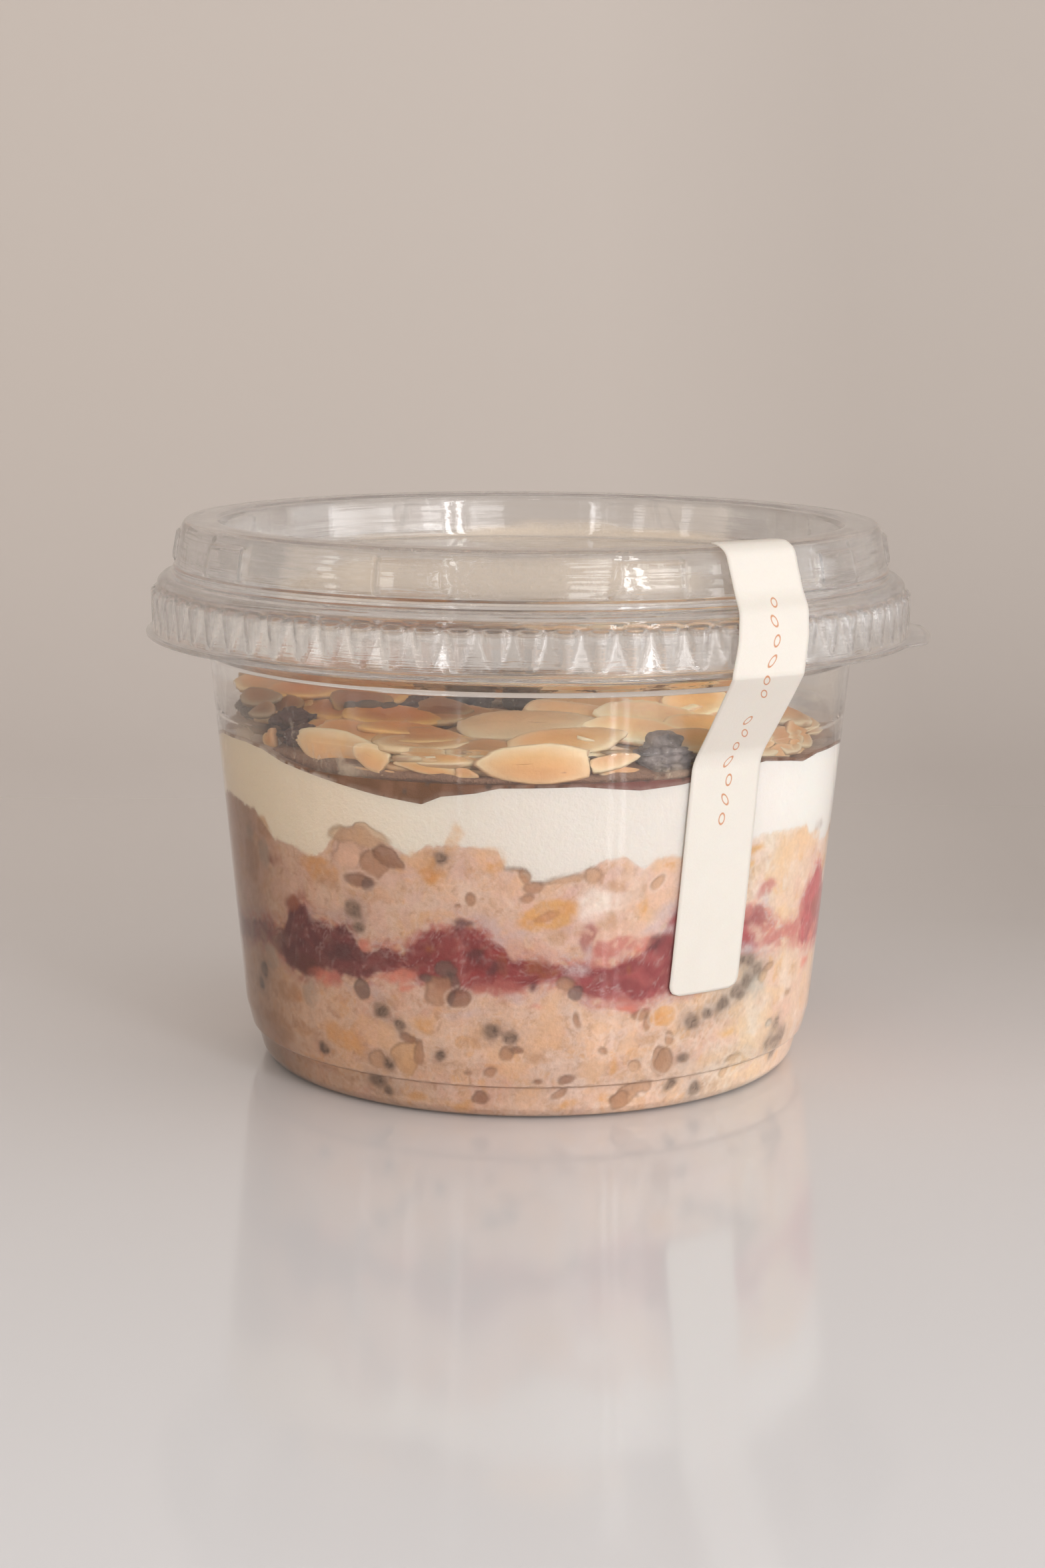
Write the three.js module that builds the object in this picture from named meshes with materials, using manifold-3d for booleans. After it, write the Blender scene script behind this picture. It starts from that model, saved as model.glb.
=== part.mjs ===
import * as THREE from 'three';
import { mergeVertices } from 'three/addons/utils/BufferGeometryUtils.js';
import Module from 'manifold-3d';

// Strawberry overnight oats in a clear deli cup with a press-on lid.
// Millimetres, +Z up, the base rests on z = 0, the seal strip side faces -Y.
// An azimuth is measured in degrees from -Y towards +X.

// Cup: straight flaring wall between a rounded foot and a stacking shoulder.
const WALL = 0.6;
const WALL_R0 = 37.56;
const WALL_SLOPE = 0.0939;
const BASE_R = 34.0;
const BASE_T = 0.8;
const FOOT_TOP_Z = 4.7;
const FOOT_R = 36.95;
const SHOULDER_Z = 54.8;
const RIM_R = 48.5;
const RIM_TOP_Z = 64.2;
const CUP_SEGMENTS = 56;

// Lid: ribbed skirt with a thin brim, a raised stacking ring, a sunk panel.
const BRIM_R = 51.0;
const BRIM_Z = 57.4;
const SKIRT_TOP_R = 49.7;
const SKIRT_TOP_Z = 63.2;
const LEDGE_Z = 65.3;
const RING_BASE_R = 47.4;
const RING_TOP_R = 45.6;
const RING_TOP_Z = 72.3;
const RECESS_R = 40.4;
const RECESS_Z = 66.2;
const LID_T = 0.5;
const LID_SEGMENTS = 76;
const RIBS = 76;
const RIB_DEPTH = 0.5;
const LUG_PAIRS = 5;
const LUG_AZ = 18;
const LUG_HALF = 5.4;
const LUG_SLANT = 1.2;
const LUG_Z0 = 67.1;
const LUG_Z1 = 70.9;
const LUG_OUT = 0.5;
const TAB_AZ = 85;
const TAB_HALF = 15;
const TAB_OUT = 2.0;

// Seal strip: paper folded over the ring, the brim and down the wall.
const STRIP_T = 0.25;
const STRIP_W = 10.8;
const STRIP_GAP = 0.32;
const STRIP_END_Z = 15.9;

// Food: each layer stops this far from the plastic and from the next layer.
const GAP = 0.3;
const FOOD_SEGMENTS = 60;
const JAM_BOTTOM = 17.3;
const JAM_TOP = 22.0;
const OATS_TOP = 35.2;
const YOGHURT_TOP = 43.3;
const FILM_TOP = 44.3;
const HEAP_TOP = 46.1;

const DEG = Math.PI / 180;

function rng(seed) {
  let s = seed;
  return () => {
    s = (s * 1664525 + 1013904223) % 4294967296;
    return s / 4294967296;
  };
}

function turn(a, b) {
  let d = (a - b) % 360;
  if (d > 180) {
    d -= 360;
  }
  if (d < -180) {
    d += 360;
  }
  return d;
}

// Height of a layer outline at the wall: a mean level plus rounded bumps.
function outline(mean, bumps, az) {
  let z = mean;
  for (const [at, width, height] of bumps) {
    const d = turn(az, at) / width;
    z += height * Math.exp(-d * d);
  }
  return z;
}

// Bumps as azimuth, width, height; the last ones lie on the far side.
const JAM_BOTTOM_BUMPS = [
  [-80, 6, -2.4], [-57, 4, 1.6], [-46, 6, -1.7], [-18, 5, 3.7], [5, 3, 2.0],
  [19, 6, -1.3], [49, 7, 3.4], [110, 9, -1.6], [150, 8, 2.2], [205, 10, -1.4],
  [245, 8, 1.8],
];
const JAM_TOP_BUMPS = [
  [-49, 6, 3.2], [-12, 6, 4.1], [-78, 8, -2.6], [26, 4, 2.3], [45, 6, 2.6],
  [73, 6, 5.5], [9, 8, -1.6], [120, 9, 2.8], [165, 7, -1.8], [215, 9, 3.4],
];
const OATS_TOP_BUMPS = [
  [-42, 6, -2.9], [-80, 12, 3.9], [-31, 5, 3.3], [-22, 3, -0.6], [-11, 5, 2.3],
  [4, 7, -4.0], [21, 4, -1.6], [-56, 6, -0.4], [125, 8, -2.6], [170, 9, 1.6],
  [220, 8, -2.4],
];
const YOGHURT_TOP_BUMPS = [
  [-20, 8, -2.3], [-68, 20, 1.7], [44, 6, 1.9], [110, 12, -1.0],
  [160, 10, 1.2], [215, 12, -0.8],
];

function smooth(t) {
  const c = Math.min(1, Math.max(0, t));
  return c * c * (3 - 2 * c);
}

// A layer level inside the cup: the wall outline fading into a calm middle.
function level(mean, bumps, az, s, phase) {
  const w = smooth((s - 0.45) / 0.5);
  const inner = mean + 0.5 * s * Math.sin(2 * az * DEG + phase);
  return outline(mean, bumps, az) * w + inner * (1 - w);
}

const jamBottom = (az, s) => level(JAM_BOTTOM, JAM_BOTTOM_BUMPS, az, s, 0.4);
const jamTop = (az, s) => level(JAM_TOP, JAM_TOP_BUMPS, az, s, 1.3);
const oatsTop = (az, s) => level(OATS_TOP, OATS_TOP_BUMPS, az, s, 2.1);
const yoghurtTop = (az, s) => level(YOGHURT_TOP, YOGHURT_TOP_BUMPS, az, s, 0);

function filmTop(az, s) {
  const swell = 0.25 * Math.sin(3 * az * DEG) * s;
  const top = FILM_TOP + swell;
  return Math.max(top, yoghurtTop(az, s) + 1.0);
}

function heapTop(az, s) {
  const swell = 0.5 * Math.sin(2 * az * DEG + 2) + 0.35 * Math.sin(5 * az * DEG);
  return HEAP_TOP + swell * s + 0.7 * (1 - s);
}

// Inner radius of the cup at a height, and the room the food may fill.
function innerRadius(z) {
  if (z < FOOT_TOP_Z) {
    const t = smooth((z - BASE_T) / (FOOT_TOP_Z - BASE_T));
    return 34.0 + (FOOT_R - WALL - 34.0) * Math.sqrt(t);
  }
  if (z < 8) {
    const t = (z - FOOT_TOP_Z) / (8 - FOOT_TOP_Z);
    return FOOT_R - WALL + t * (WALL_R0 + WALL_SLOPE * 8 - FOOT_R);
  }
  return WALL_R0 + WALL_SLOPE * z - WALL;
}

function foodRadius(z) {
  return innerRadius(z) - GAP;
}

function geometry(positions, indices) {
  const g = new THREE.BufferGeometry();
  g.setAttribute('position', new THREE.Float32BufferAttribute(positions, 3));
  g.setIndex(indices);
  return g;
}

// Sweeps a section of rows round the axis; a row with r = 0 is one point.
// The rows run up the outside from the bottom middle to the top middle.
function sweep(rows, segments, closed) {
  const positions = [];
  const rings = [];
  const reach = rows.map((row) => row(0)[0]);
  for (const row of rows) {
    const ring = [];
    const first = row(0);
    if (first[0] === 0) {
      ring.push(positions.length / 3);
      positions.push(0, 0, first[1]);
    } else {
      for (let j = 0; j < segments; j += 1) {
        const az = (360 * j) / segments;
        const [r, z] = row(az);
        ring.push(positions.length / 3);
        positions.push(r * Math.sin(az * DEG), -r * Math.cos(az * DEG), z);
      }
    }
    rings.push(ring);
  }
  const indices = [];
  const bands = closed ? rings.length : rings.length - 1;
  for (let k = 0; k < bands; k += 1) {
    const a = rings[k];
    const b = rings[(k + 1) % rings.length];
    const inward = reach[(k + 1) % rings.length] < reach[k];
    for (let j = 0; j < segments; j += 1) {
      const n = (j + 1) % segments;
      if (a.length === 1) {
        indices.push(a[0], b[n], b[j]);
      } else if (b.length === 1) {
        indices.push(a[j], a[n], b[0]);
      } else if (inward) {
        indices.push(a[j], a[n], b[j]);
        indices.push(a[n], b[n], b[j]);
      } else {
        indices.push(a[j], a[n], b[n]);
        indices.push(a[j], b[n], b[j]);
      }
    }
  }
  return geometry(positions, indices);
}

function lathe(profile, segments) {
  return sweep(profile.map(([r, z]) => () => [r, z]), segments, false);
}

// A closed body between a lower and an upper level, fitted to the cup wall
// and drawn in a little from it where asked.
function layer(low, high, shares, inset = 0) {
  const rows = [];
  rows.push(() => [0, low(0, 0)]);
  for (const s of shares) {
    rows.push((az) => {
      const z = low(az, s);
      return [(foodRadius(z) - inset) * s, z];
    });
  }
  for (const s of [...shares].reverse()) {
    rows.push((az) => {
      const z = high(az, s);
      return [(foodRadius(z) - inset) * s, z];
    });
  }
  rows.push(() => [0, high(0, 0)]);
  return sweep(rows, FOOD_SEGMENTS, false);
}

const wasm = await Module();
wasm.setup();

function toSolid(source) {
  const copy = source.clone();
  copy.deleteAttribute('normal');
  copy.deleteAttribute('uv');
  const g = mergeVertices(copy, 1e-5);
  const vertProperties = new Float32Array(g.attributes.position.array);
  const triVerts = new Uint32Array(g.index.array);
  return new wasm.Manifold(new wasm.Mesh({ numProp: 3, vertProperties, triVerts }));
}

function toGeometry(solid) {
  const mesh = solid.getMesh();
  const n = mesh.numProp;
  const positions = [];
  for (let i = 0; i < mesh.vertProperties.length; i += n) {
    positions.push(mesh.vertProperties[i]);
    positions.push(mesh.vertProperties[i + 1]);
    positions.push(mesh.vertProperties[i + 2]);
  }
  return geometry(positions, Array.from(mesh.triVerts));
}

// The largest single body of a cut solid.
function mainBody(solid) {
  let best = null;
  for (const body of solid.decompose()) {
    if (best === null || body.volume() > best.volume()) {
      best = body;
    }
  }
  return best;
}

const group = new THREE.Group();
group.name = 'strawberry_overnight_oats';

function add(name, shape, look) {
  const flat = shape.toNonIndexed();
  flat.computeVertexNormals();
  const material = new THREE.MeshStandardMaterial(look);
  material.name = `${name}_material`;
  const mesh = new THREE.Mesh(flat, material);
  mesh.name = name;
  group.add(mesh);
  return mesh;
}

// Cup.
const wallR = (z) => WALL_R0 + WALL_SLOPE * z;
const cupProfile = [
  [0, 0],
  [BASE_R, 0],
  [35.2, 0.5],
  [36.1, 1.5],
  [FOOT_R, FOOT_TOP_Z],
  [37.5, 4.85],
  [wallR(8), 8],
  [wallR(SHOULDER_Z), SHOULDER_Z],
  [45.0, 56.3],
  [45.9, 62.6],
  [48.1, 63.0],
  [RIM_R, 63.5],
  [48.1, RIM_TOP_Z],
  [45.9, 63.9],
  [45.3, 63.2],
  [44.5, 57.0],
  [43.2, 56.1],
  [innerRadius(SHOULDER_Z), SHOULDER_Z],
  [innerRadius(8), 8],
  [innerRadius(FOOT_TOP_Z), FOOT_TOP_Z],
  [innerRadius(1.8), 1.8],
  [33.9, BASE_T],
  [0, BASE_T],
];
add('cup', lathe(cupProfile, CUP_SEGMENTS), {
  color: 0xdfe2e0, roughness: 0.08, metalness: 0, transparent: true, opacity: 0.3,
});

// Lid body: the outer skin runs up from the brim, the inner skin runs back.
const lidProfile = [
  [0, RECESS_Z - LID_T],
  [RECESS_R - 0.3, RECESS_Z - LID_T],
  [RECESS_R + 0.55, RECESS_Z + 0.3],
  [RECESS_R + 1.2, RING_TOP_Z - LID_T],
  [RING_TOP_R - 0.2, RING_TOP_Z - LID_T],
  [RING_BASE_R - 0.6, LEDGE_Z - LID_T],
  [48.3, LEDGE_Z - LID_T],
  [49.0, 63.6],
  [49.6, 58.1],
  [49.9, BRIM_Z],
  [BRIM_R, BRIM_Z],
  [BRIM_R, BRIM_Z + 0.4],
  [50.2, BRIM_Z + 0.6],
  [SKIRT_TOP_R, SKIRT_TOP_Z],
  [49.35, 64.6],
  [48.6, LEDGE_Z - 0.05],
  [RING_BASE_R, LEDGE_Z],
  [46.35, 70.9],
  [46.05, 71.8],
  [RING_TOP_R, RING_TOP_Z],
  [RECESS_R + 1.2, RING_TOP_Z],
  [RECESS_R + 0.4, 71.4],
  [RECESS_R - 0.3, RECESS_Z],
  [0, RECESS_Z],
];
let lid = toSolid(lathe(lidProfile, LID_SEGMENTS));

function prism(bottom, top) {
  const n = bottom.length;
  const positions = [];
  for (const p of [...bottom, ...top]) {
    positions.push(p[0], p[1], p[2]);
  }
  const indices = [];
  for (let i = 0; i < n; i += 1) {
    const j = (i + 1) % n;
    indices.push(i, j, n + j);
    indices.push(i, n + j, n + i);
  }
  for (let i = 1; i < n - 1; i += 1) {
    indices.push(0, i + 1, i);
    indices.push(n, n + i, n + i + 1);
  }
  return geometry(positions, indices);
}

function at(az, r, z) {
  return [r * Math.sin(az * DEG), -r * Math.cos(az * DEG), z];
}

// Skirt ribs: narrow flutes, wide at the foot, running out at the top.
const ribStep = 360 / RIBS;
let ribs = null;
for (let i = 0; i < RIBS; i += 1) {
  const az = (i + 0.5) * ribStep;
  const low = 0.3 * ribStep;
  const high = 0.14 * ribStep;
  const z0 = 58.3;
  const z1 = 62.8;
  const bottom = [
    at(az - low, 49.75, z0),
    at(az, 50.15 + RIB_DEPTH, z0),
    at(az + low, 49.75, z0),
  ];
  const top = [
    at(az - high, 49.35, z1),
    at(az, SKIRT_TOP_R + RIB_DEPTH * 0.6, z1),
    at(az + high, 49.35, z1),
  ];
  const rib = toSolid(prism(bottom, top));
  ribs = ribs === null ? rib : ribs.add(rib);
}
lid = lid.add(ribs);

// A bent slab between outer and inner lines of points, foot and head.
function slab(outLow, inLow, outHigh, inHigh) {
  const n = outLow.length;
  const positions = [...outLow, ...inLow, ...outHigh, ...inHigh].flat();
  const indices = [];
  const quad = (a, b, c, d) => {
    indices.push(a, b, c);
    indices.push(a, c, d);
  };
  for (let i = 0; i < n - 1; i += 1) {
    quad(i, n + i, n + i + 1, i + 1);
    quad(2 * n + i, 2 * n + i + 1, 3 * n + i + 1, 3 * n + i);
    quad(i, i + 1, 2 * n + i + 1, 2 * n + i);
    quad(n + i, 3 * n + i, 3 * n + i + 1, n + i + 1);
  }
  quad(0, 2 * n, 3 * n, n);
  quad(n - 1, 2 * n - 1, 4 * n - 1, 3 * n - 1);
  return geometry(positions, indices);
}

function spread(from, to, count) {
  return Array.from({ length: count }, (_, i) => from + ((to - from) * i) / (count - 1));
}

// Stacking lugs: mirrored pairs of pads with one slanting side each.
for (let k = 0; k < LUG_PAIRS; k += 1) {
  for (const side of [-1, 1]) {
    const mid = 72 * k + side * LUG_AZ;
    const cut = side > 0 ? [LUG_SLANT, 0] : [0, -LUG_SLANT];
    const low = spread(mid - LUG_HALF, mid + LUG_HALF, 3);
    const high = spread(mid - LUG_HALF + cut[0], mid + LUG_HALF + cut[1], 3);
    const pad = slab(
      low.map((az) => at(az, 47.0 + LUG_OUT, LUG_Z0)),
      low.map((az) => at(az, 46.6, LUG_Z0)),
      high.map((az) => at(az, 46.35 + LUG_OUT, LUG_Z1)),
      high.map((az) => at(az, 46.05, LUG_Z1)),
    );
    lid = lid.add(toSolid(pad));
  }
}

// Lifting tab: the brim grows out a little on the right.
const tabAz = spread(TAB_AZ - TAB_HALF, TAB_AZ + TAB_HALF, 9);
const tabR = (az) => {
  const share = 1 - Math.abs(az - TAB_AZ) / TAB_HALF;
  return BRIM_R - 0.12 + TAB_OUT * smooth(share);
};
const tab = slab(
  tabAz.map((az) => at(az, tabR(az), BRIM_Z + 0.05)),
  tabAz.map((az) => at(az, 50.5, BRIM_Z + 0.05)),
  tabAz.map((az) => at(az, tabR(az), BRIM_Z + 0.36)),
  tabAz.map((az) => at(az, 50.5, BRIM_Z + 0.36)),
);
lid = lid.add(toSolid(tab));
add('lid', toGeometry(lid), {
  color: 0xe3e5e3, roughness: 0.1, metalness: 0, transparent: true, opacity: 0.3,
});

// Seal strip: stations along the strip as azimuth, radius, height.
function stripStations() {
  const g = STRIP_GAP;
  const end = wallR(STRIP_END_Z) + g;
  return [
    [36.4, 43.4, RING_TOP_Z + g],
    [36.4, 45.5, RING_TOP_Z + g],
    [36.6, RING_TOP_R + 0.95 + g, RING_TOP_Z - 0.6],
    [37.2, 47.6 + g, LUG_Z0],
    [37.0, 48.2 + g, 66.2],
    [36.4, 49.5 + g, 64.9],
    [35.4, 50.6 + g, 61.5],
    [34.0, BRIM_R + 0.3 + g, BRIM_Z + 0.4],
    [34.0, BRIM_R + 0.25 + g, BRIM_Z - 0.1],
    [36.3, wallR(46.0) + 0.25 + g, 46.0],
    [36.1, wallR(44.4) + g, 44.4],
    [35.6, wallR(30) + g, 30],
    [34.95, wallR(STRIP_END_Z + 1.2) + g, STRIP_END_Z + 1.2],
    [34.9, end, STRIP_END_Z],
  ];
}

function strip() {
  const stations = stripStations();
  const across = [-1, -0.5, 0, 0.5, 1];
  const positions = [];
  const n = across.length;
  const last = stations.length - 1;
  stations.forEach(([az, r, z], k) => {
    const a = stations[Math.max(0, k - 1)];
    const b = stations[Math.min(last, k + 1)];
    const run = Math.hypot(b[1] - a[1], b[2] - a[2]);
    const nr = -(b[2] - a[2]) / run;
    const nz = (b[1] - a[1]) / run;
    const ends = k === 0 || k === last;
    const half = (ends ? STRIP_W / 2 - 1.1 : STRIP_W / 2) / r / DEG;
    for (const out of [0, STRIP_T]) {
      for (const t of across) {
        const p = at(az + half * t, r + nr * out, z + nz * out);
        positions.push(p[0], p[1], p[2]);
      }
    }
  });
  const indices = [];
  const id = (k, side, j) => k * 2 * n + side * n + j;
  const quad = (a, b, c, d) => {
    indices.push(a, b, c);
    indices.push(a, c, d);
  };
  for (let k = 0; k < last; k += 1) {
    for (let j = 0; j < n - 1; j += 1) {
      quad(id(k, 1, j), id(k + 1, 1, j), id(k + 1, 1, j + 1), id(k, 1, j + 1));
      quad(id(k, 0, j), id(k, 0, j + 1), id(k + 1, 0, j + 1), id(k + 1, 0, j));
    }
    quad(id(k, 0, 0), id(k + 1, 0, 0), id(k + 1, 1, 0), id(k, 1, 0));
    quad(id(k, 0, n - 1), id(k, 1, n - 1), id(k + 1, 1, n - 1), id(k + 1, 0, n - 1));
  }
  for (let j = 0; j < n - 1; j += 1) {
    quad(id(0, 0, j), id(0, 1, j), id(0, 1, j + 1), id(0, 0, j + 1));
    quad(id(last, 0, j), id(last, 0, j + 1), id(last, 1, j + 1), id(last, 1, j));
  }
  return geometry(positions, indices);
}
add('seal_strip', strip(), { color: 0xf0e9dd, roughness: 0.7, metalness: 0 });

// Food layers, from the foot up.
const SHARES = [0.62, 1];

function lowerOats() {
  const floor = BASE_T + GAP;
  const high = (az, s) => jamBottom(az, s) - GAP / 2;
  const rows = [
    () => [0, floor],
    () => [foodRadius(1.2) - 0.6, floor],
    () => [foodRadius(2.2), 2.2],
    () => [foodRadius(FOOT_TOP_Z), FOOT_TOP_Z],
    () => [foodRadius(8), 8],
  ];
  for (const s of [...SHARES].reverse()) {
    rows.push((az) => {
      const z = high(az, s);
      return [foodRadius(z) * s, z];
    });
  }
  rows.push(() => [0, high(0, 0)]);
  return sweep(rows, FOOD_SEGMENTS, false);
}

const up = (f) => (az, s) => f(az, s) + GAP / 2;
const down = (f) => (az, s) => f(az, s) - GAP / 2;
const OATS = { color: 0xdcb69a, roughness: 0.55, metalness: 0 };
add('oats_lower', lowerOats(), OATS);
add('strawberry_layer', layer(up(jamBottom), down(jamTop), SHARES), {
  color: 0x9c5a5c, roughness: 0.4, metalness: 0,
});
add('oats_upper', layer(up(jamTop), down(oatsTop), SHARES), OATS);
add('yoghurt', layer(up(oatsTop), down(yoghurtTop), SHARES), {
  color: 0xece2d2, roughness: 0.35, metalness: 0,
});
add('fruit_film', layer(up(yoghurtTop), down(filmTop), SHARES), {
  color: 0x6b5146, roughness: 0.3, metalness: 0,
});

// Dried berries and raisins: place, half sizes, turn and a seed.
const FRUIT = [
  ['blueberry_front', 15.4, -33.9, 47.7, 3.6, 3.1, 2.5, 20, 3],
  ['raisin_left_front', -28.0, -24.6, 47.6, 2.6, 1.9, 1.7, 50, 5],
  ['raisin_left', -30.6, -15.6, 48.2, 3.1, 2.3, 2.0, 20, 7],
  ['blueberry_left', -36.2, -5.4, 48.4, 3.0, 2.7, 2.3, 70, 11],
  ['blueberry_middle_left', -8.3, 2.6, 47.4, 3.4, 3.0, 2.5, 10, 13],
  ['blueberry_middle_right', -1.3, 4.6, 47.3, 3.2, 2.9, 2.4, 60, 17],
  ['raisin_middle', -15.6, -2.8, 47.3, 2.7, 2.0, 1.8, 35, 19],
  ['raisin_middle_front', -11.6, -11.4, 47.2, 3.2, 2.0, 1.8, 10, 23],
  ['raisin_right', 23.4, 13.6, 46.9, 3.0, 2.1, 1.8, 75, 29],
];

function berry(x, y, z, a, b, c, yaw, seed, grow) {
  const rand = rng(seed);
  const phase = [rand() * 6, rand() * 6, rand() * 6];
  const around = 8;
  const rows = 6;
  const positions = [];
  const rings = [];
  for (let i = 0; i <= rows; i += 1) {
    const lat = -90 + (180 * i) / rows;
    const ring = [];
    const count = i === 0 || i === rows ? 1 : around;
    for (let j = 0; j < count; j += 1) {
      const lon = (360 * j) / around;
      const u = Math.cos(lat * DEG) * Math.cos(lon * DEG);
      const v = Math.cos(lat * DEG) * Math.sin(lon * DEG);
      const w = Math.sin(lat * DEG);
      const dent = 1 + 0.09 * Math.sin(2.6 * u + phase[0]) * Math.sin(3.1 * v + phase[1]);
      const k = dent + 0.05 * Math.sin(3.4 * w + phase[2]);
      const px = u * (a * k + grow);
      const py = v * (b * k + grow);
      const cy = Math.cos(yaw * DEG);
      const sy = Math.sin(yaw * DEG);
      ring.push(positions.length / 3);
      positions.push(x + cy * px - sy * py, y + sy * px + cy * py);
      positions.push(z + w * (c * k + grow));
    }
    rings.push(ring);
  }
  const indices = [];
  for (let i = 0; i < rows; i += 1) {
    const p = rings[i];
    const q = rings[i + 1];
    for (let j = 0; j < around; j += 1) {
      const n = (j + 1) % around;
      if (p.length === 1) {
        indices.push(p[0], q[n], q[j]);
      } else if (q.length === 1) {
        indices.push(p[j], p[n], q[0]);
      } else {
        indices.push(p[j], p[n], q[n]);
        indices.push(p[j], q[n], q[j]);
      }
    }
  }
  return geometry(positions, indices);
}

for (const [name, ...place] of FRUIT) {
  const blue = name.startsWith('blueberry');
  add(name, berry(...place, 0), {
    color: blue ? 0x3c3d44 : 0x3a2420, roughness: 0.6, metalness: 0,
  });
}

// Flaked almonds: thin leaves with one pointed end, few sides, true size.
function flake(az, r, z, size, yaw, tilt, lean) {
  const [long, wide, thick] = size;
  const sides = 9;
  const bottom = [];
  const top = [];
  const turned = new THREE.Euler(lean * DEG, tilt * DEG, yaw * DEG, 'ZYX');
  const middle = new THREE.Vector3(...at(az, r, z));
  for (let i = 0; i < sides; i += 1) {
    const t = (2 * Math.PI * i) / sides;
    const x = (long / 2) * Math.cos(t);
    const y = (wide / 2) * Math.sin(t) * (1 - 0.3 * Math.cos(t));
    for (const [list, h] of [[bottom, -thick / 2], [top, thick / 2]]) {
      const p = new THREE.Vector3(x, y, h).applyEuler(turned).add(middle);
      list.push([p.x, p.y, p.z]);
    }
  }
  return toSolid(prism(bottom, top));
}

// The flakes named in order: azimuth, radius, height, size, yaw, tilt, lean.
const SHOWN_FLAKES = [
  [1.5, 38.0, 46.6, [14.0, 7.0, 1.1], 2, -2, 48],
  [-34, 36.6, 46.6, [14.0, 7.5, 1.1], -42, 4, 40],
  [-3, 30.5, 47.4, [16.0, 8.5, 1.0], 8, 4, 14],
  [8, 34.0, 47.2, [12.0, 6.0, 1.0], 12, -4, 22],
  [-24, 33.0, 47.6, [15.0, 7.0, 1.0], -14, 6, 12],
  [-17, 36.5, 46.9, [13.0, 5.0, 1.0], -12, -3, 10],
  [-12, 38.0, 46.0, [11.0, 4.0, 0.9], -8, 5, -12],
  [40, 31.0, 47.5, [15.0, 8.0, 1.0], 30, 7, 15],
  [57, 33.5, 47.3, [15.0, 7.5, 1.0], 62, -6, 12],
];

const rand = rng(41);
const heapLow = (az, s) => filmTop(az, s) + GAP / 2 + 0.12;
let heap = toSolid(layer(heapLow, heapTop, SHARES, 0.15));
const flakes = SHOWN_FLAKES.map((f) => flake(...f));
for (let i = 0; i < 14; i += 1) {
  const az = 80 + (i * 137.5 + 20 * rand()) % 360;
  const r = 36 * Math.sqrt((i + 0.7) / 14);
  const front = Math.abs(turn(az, 0)) < 50 && r > 24;
  const size = [11 + 5 * rand(), 6.5 + 2.5 * rand(), 1.0];
  const z = 47.0 + 0.6 * rand();
  const pose = [360 * rand(), 16 * (rand() - 0.5), 24 * (rand() - 0.5)];
  if (!front) {
    flakes.push(flake(az, r, z, size, ...pose));
  }
}
for (const f of flakes) {
  heap = heap.add(f);
}
const ceiling = () => 52;
const room = toSolid(layer(up(filmTop), ceiling, SHARES));
heap = heap.intersect(room);
for (const [, ...place] of FRUIT) {
  heap = heap.subtract(toSolid(berry(...place, 0.35)));
}
add('almond_heap', toGeometry(mainBody(heap)), {
  color: 0xc79a66, roughness: 0.55, metalness: 0,
});

export default group;
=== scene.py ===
"""Layered strawberry overnight oats in a clear cup with a press-on lid and a paper seal strip.

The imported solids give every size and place, and here each of them gets its finish. Lengths are
in millimetres and become metres when a mesh is made. An azimuth is in degrees from -Y towards
+X, so azimuth 0 faces the camera. Colours are written as the bytes of sRGB.
"""
import math
from functools import partial

import bpy
import numpy as np
from mathutils import Matrix


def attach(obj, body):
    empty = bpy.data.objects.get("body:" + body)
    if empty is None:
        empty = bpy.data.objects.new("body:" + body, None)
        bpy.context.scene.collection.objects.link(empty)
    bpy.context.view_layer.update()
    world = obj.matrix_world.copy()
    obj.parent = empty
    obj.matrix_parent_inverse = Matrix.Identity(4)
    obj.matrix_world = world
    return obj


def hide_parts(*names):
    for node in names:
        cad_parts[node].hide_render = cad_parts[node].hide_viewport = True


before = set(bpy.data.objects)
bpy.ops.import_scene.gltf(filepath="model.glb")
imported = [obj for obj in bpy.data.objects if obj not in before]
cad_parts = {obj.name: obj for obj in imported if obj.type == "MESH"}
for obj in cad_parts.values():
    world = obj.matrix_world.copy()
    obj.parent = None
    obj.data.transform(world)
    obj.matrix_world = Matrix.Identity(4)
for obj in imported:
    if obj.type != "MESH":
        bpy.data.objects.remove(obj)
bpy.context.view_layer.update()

MM = 0.001

# Cup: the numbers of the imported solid.
WALL_T = 0.6
WALL_R0 = 37.56
WALL_SLOPE = 0.0939
BASE_R = 34.0
BASE_T = 0.8
FOOT_R = 36.95
FOOT_TOP = 4.7
SHOULDER = 54.8
RIM_R = 48.5
RIM_TOP = 64.2

# The height of the faint ring inside the wall.
RING_MARK = 47.5

# Lid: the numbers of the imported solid.
LID_T = 0.5
BRIM_R = 51.0
BRIM_Z = 57.4
LEDGE_Z = 65.3
RING_BASE_R = 47.4
RING_TOP_R = 45.6
RING_TOP_Z = 72.3
RECESS_R = 40.4
RECESS_Z = 66.2
RIBS = 76
RIB_DEPTH = 0.5
LUG_PAIRS = 5
LUG_OFF = 18.0
LUG_HALF = 5.4
LUG_SLANT = 1.2
LUG_OUT = 0.5
TAB_AT = 85.0
TAB_HALF = 15.0
TAB_OUT = 2.0

# The heights between which the skirt has ribs and the ring has lugs, soft ends included.
SKIRT_LOW = 57.9
SKIRT_HIGH = 64.0
LUG_LOW = 67.0
LUG_HIGH = 71.0

# Paper strip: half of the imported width, the reach of its round corners, and a paper's thickness.
STRIP_HALF = 5.4
STRIP_CORNER = 1.5
STRIP_T = 0.12

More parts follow.
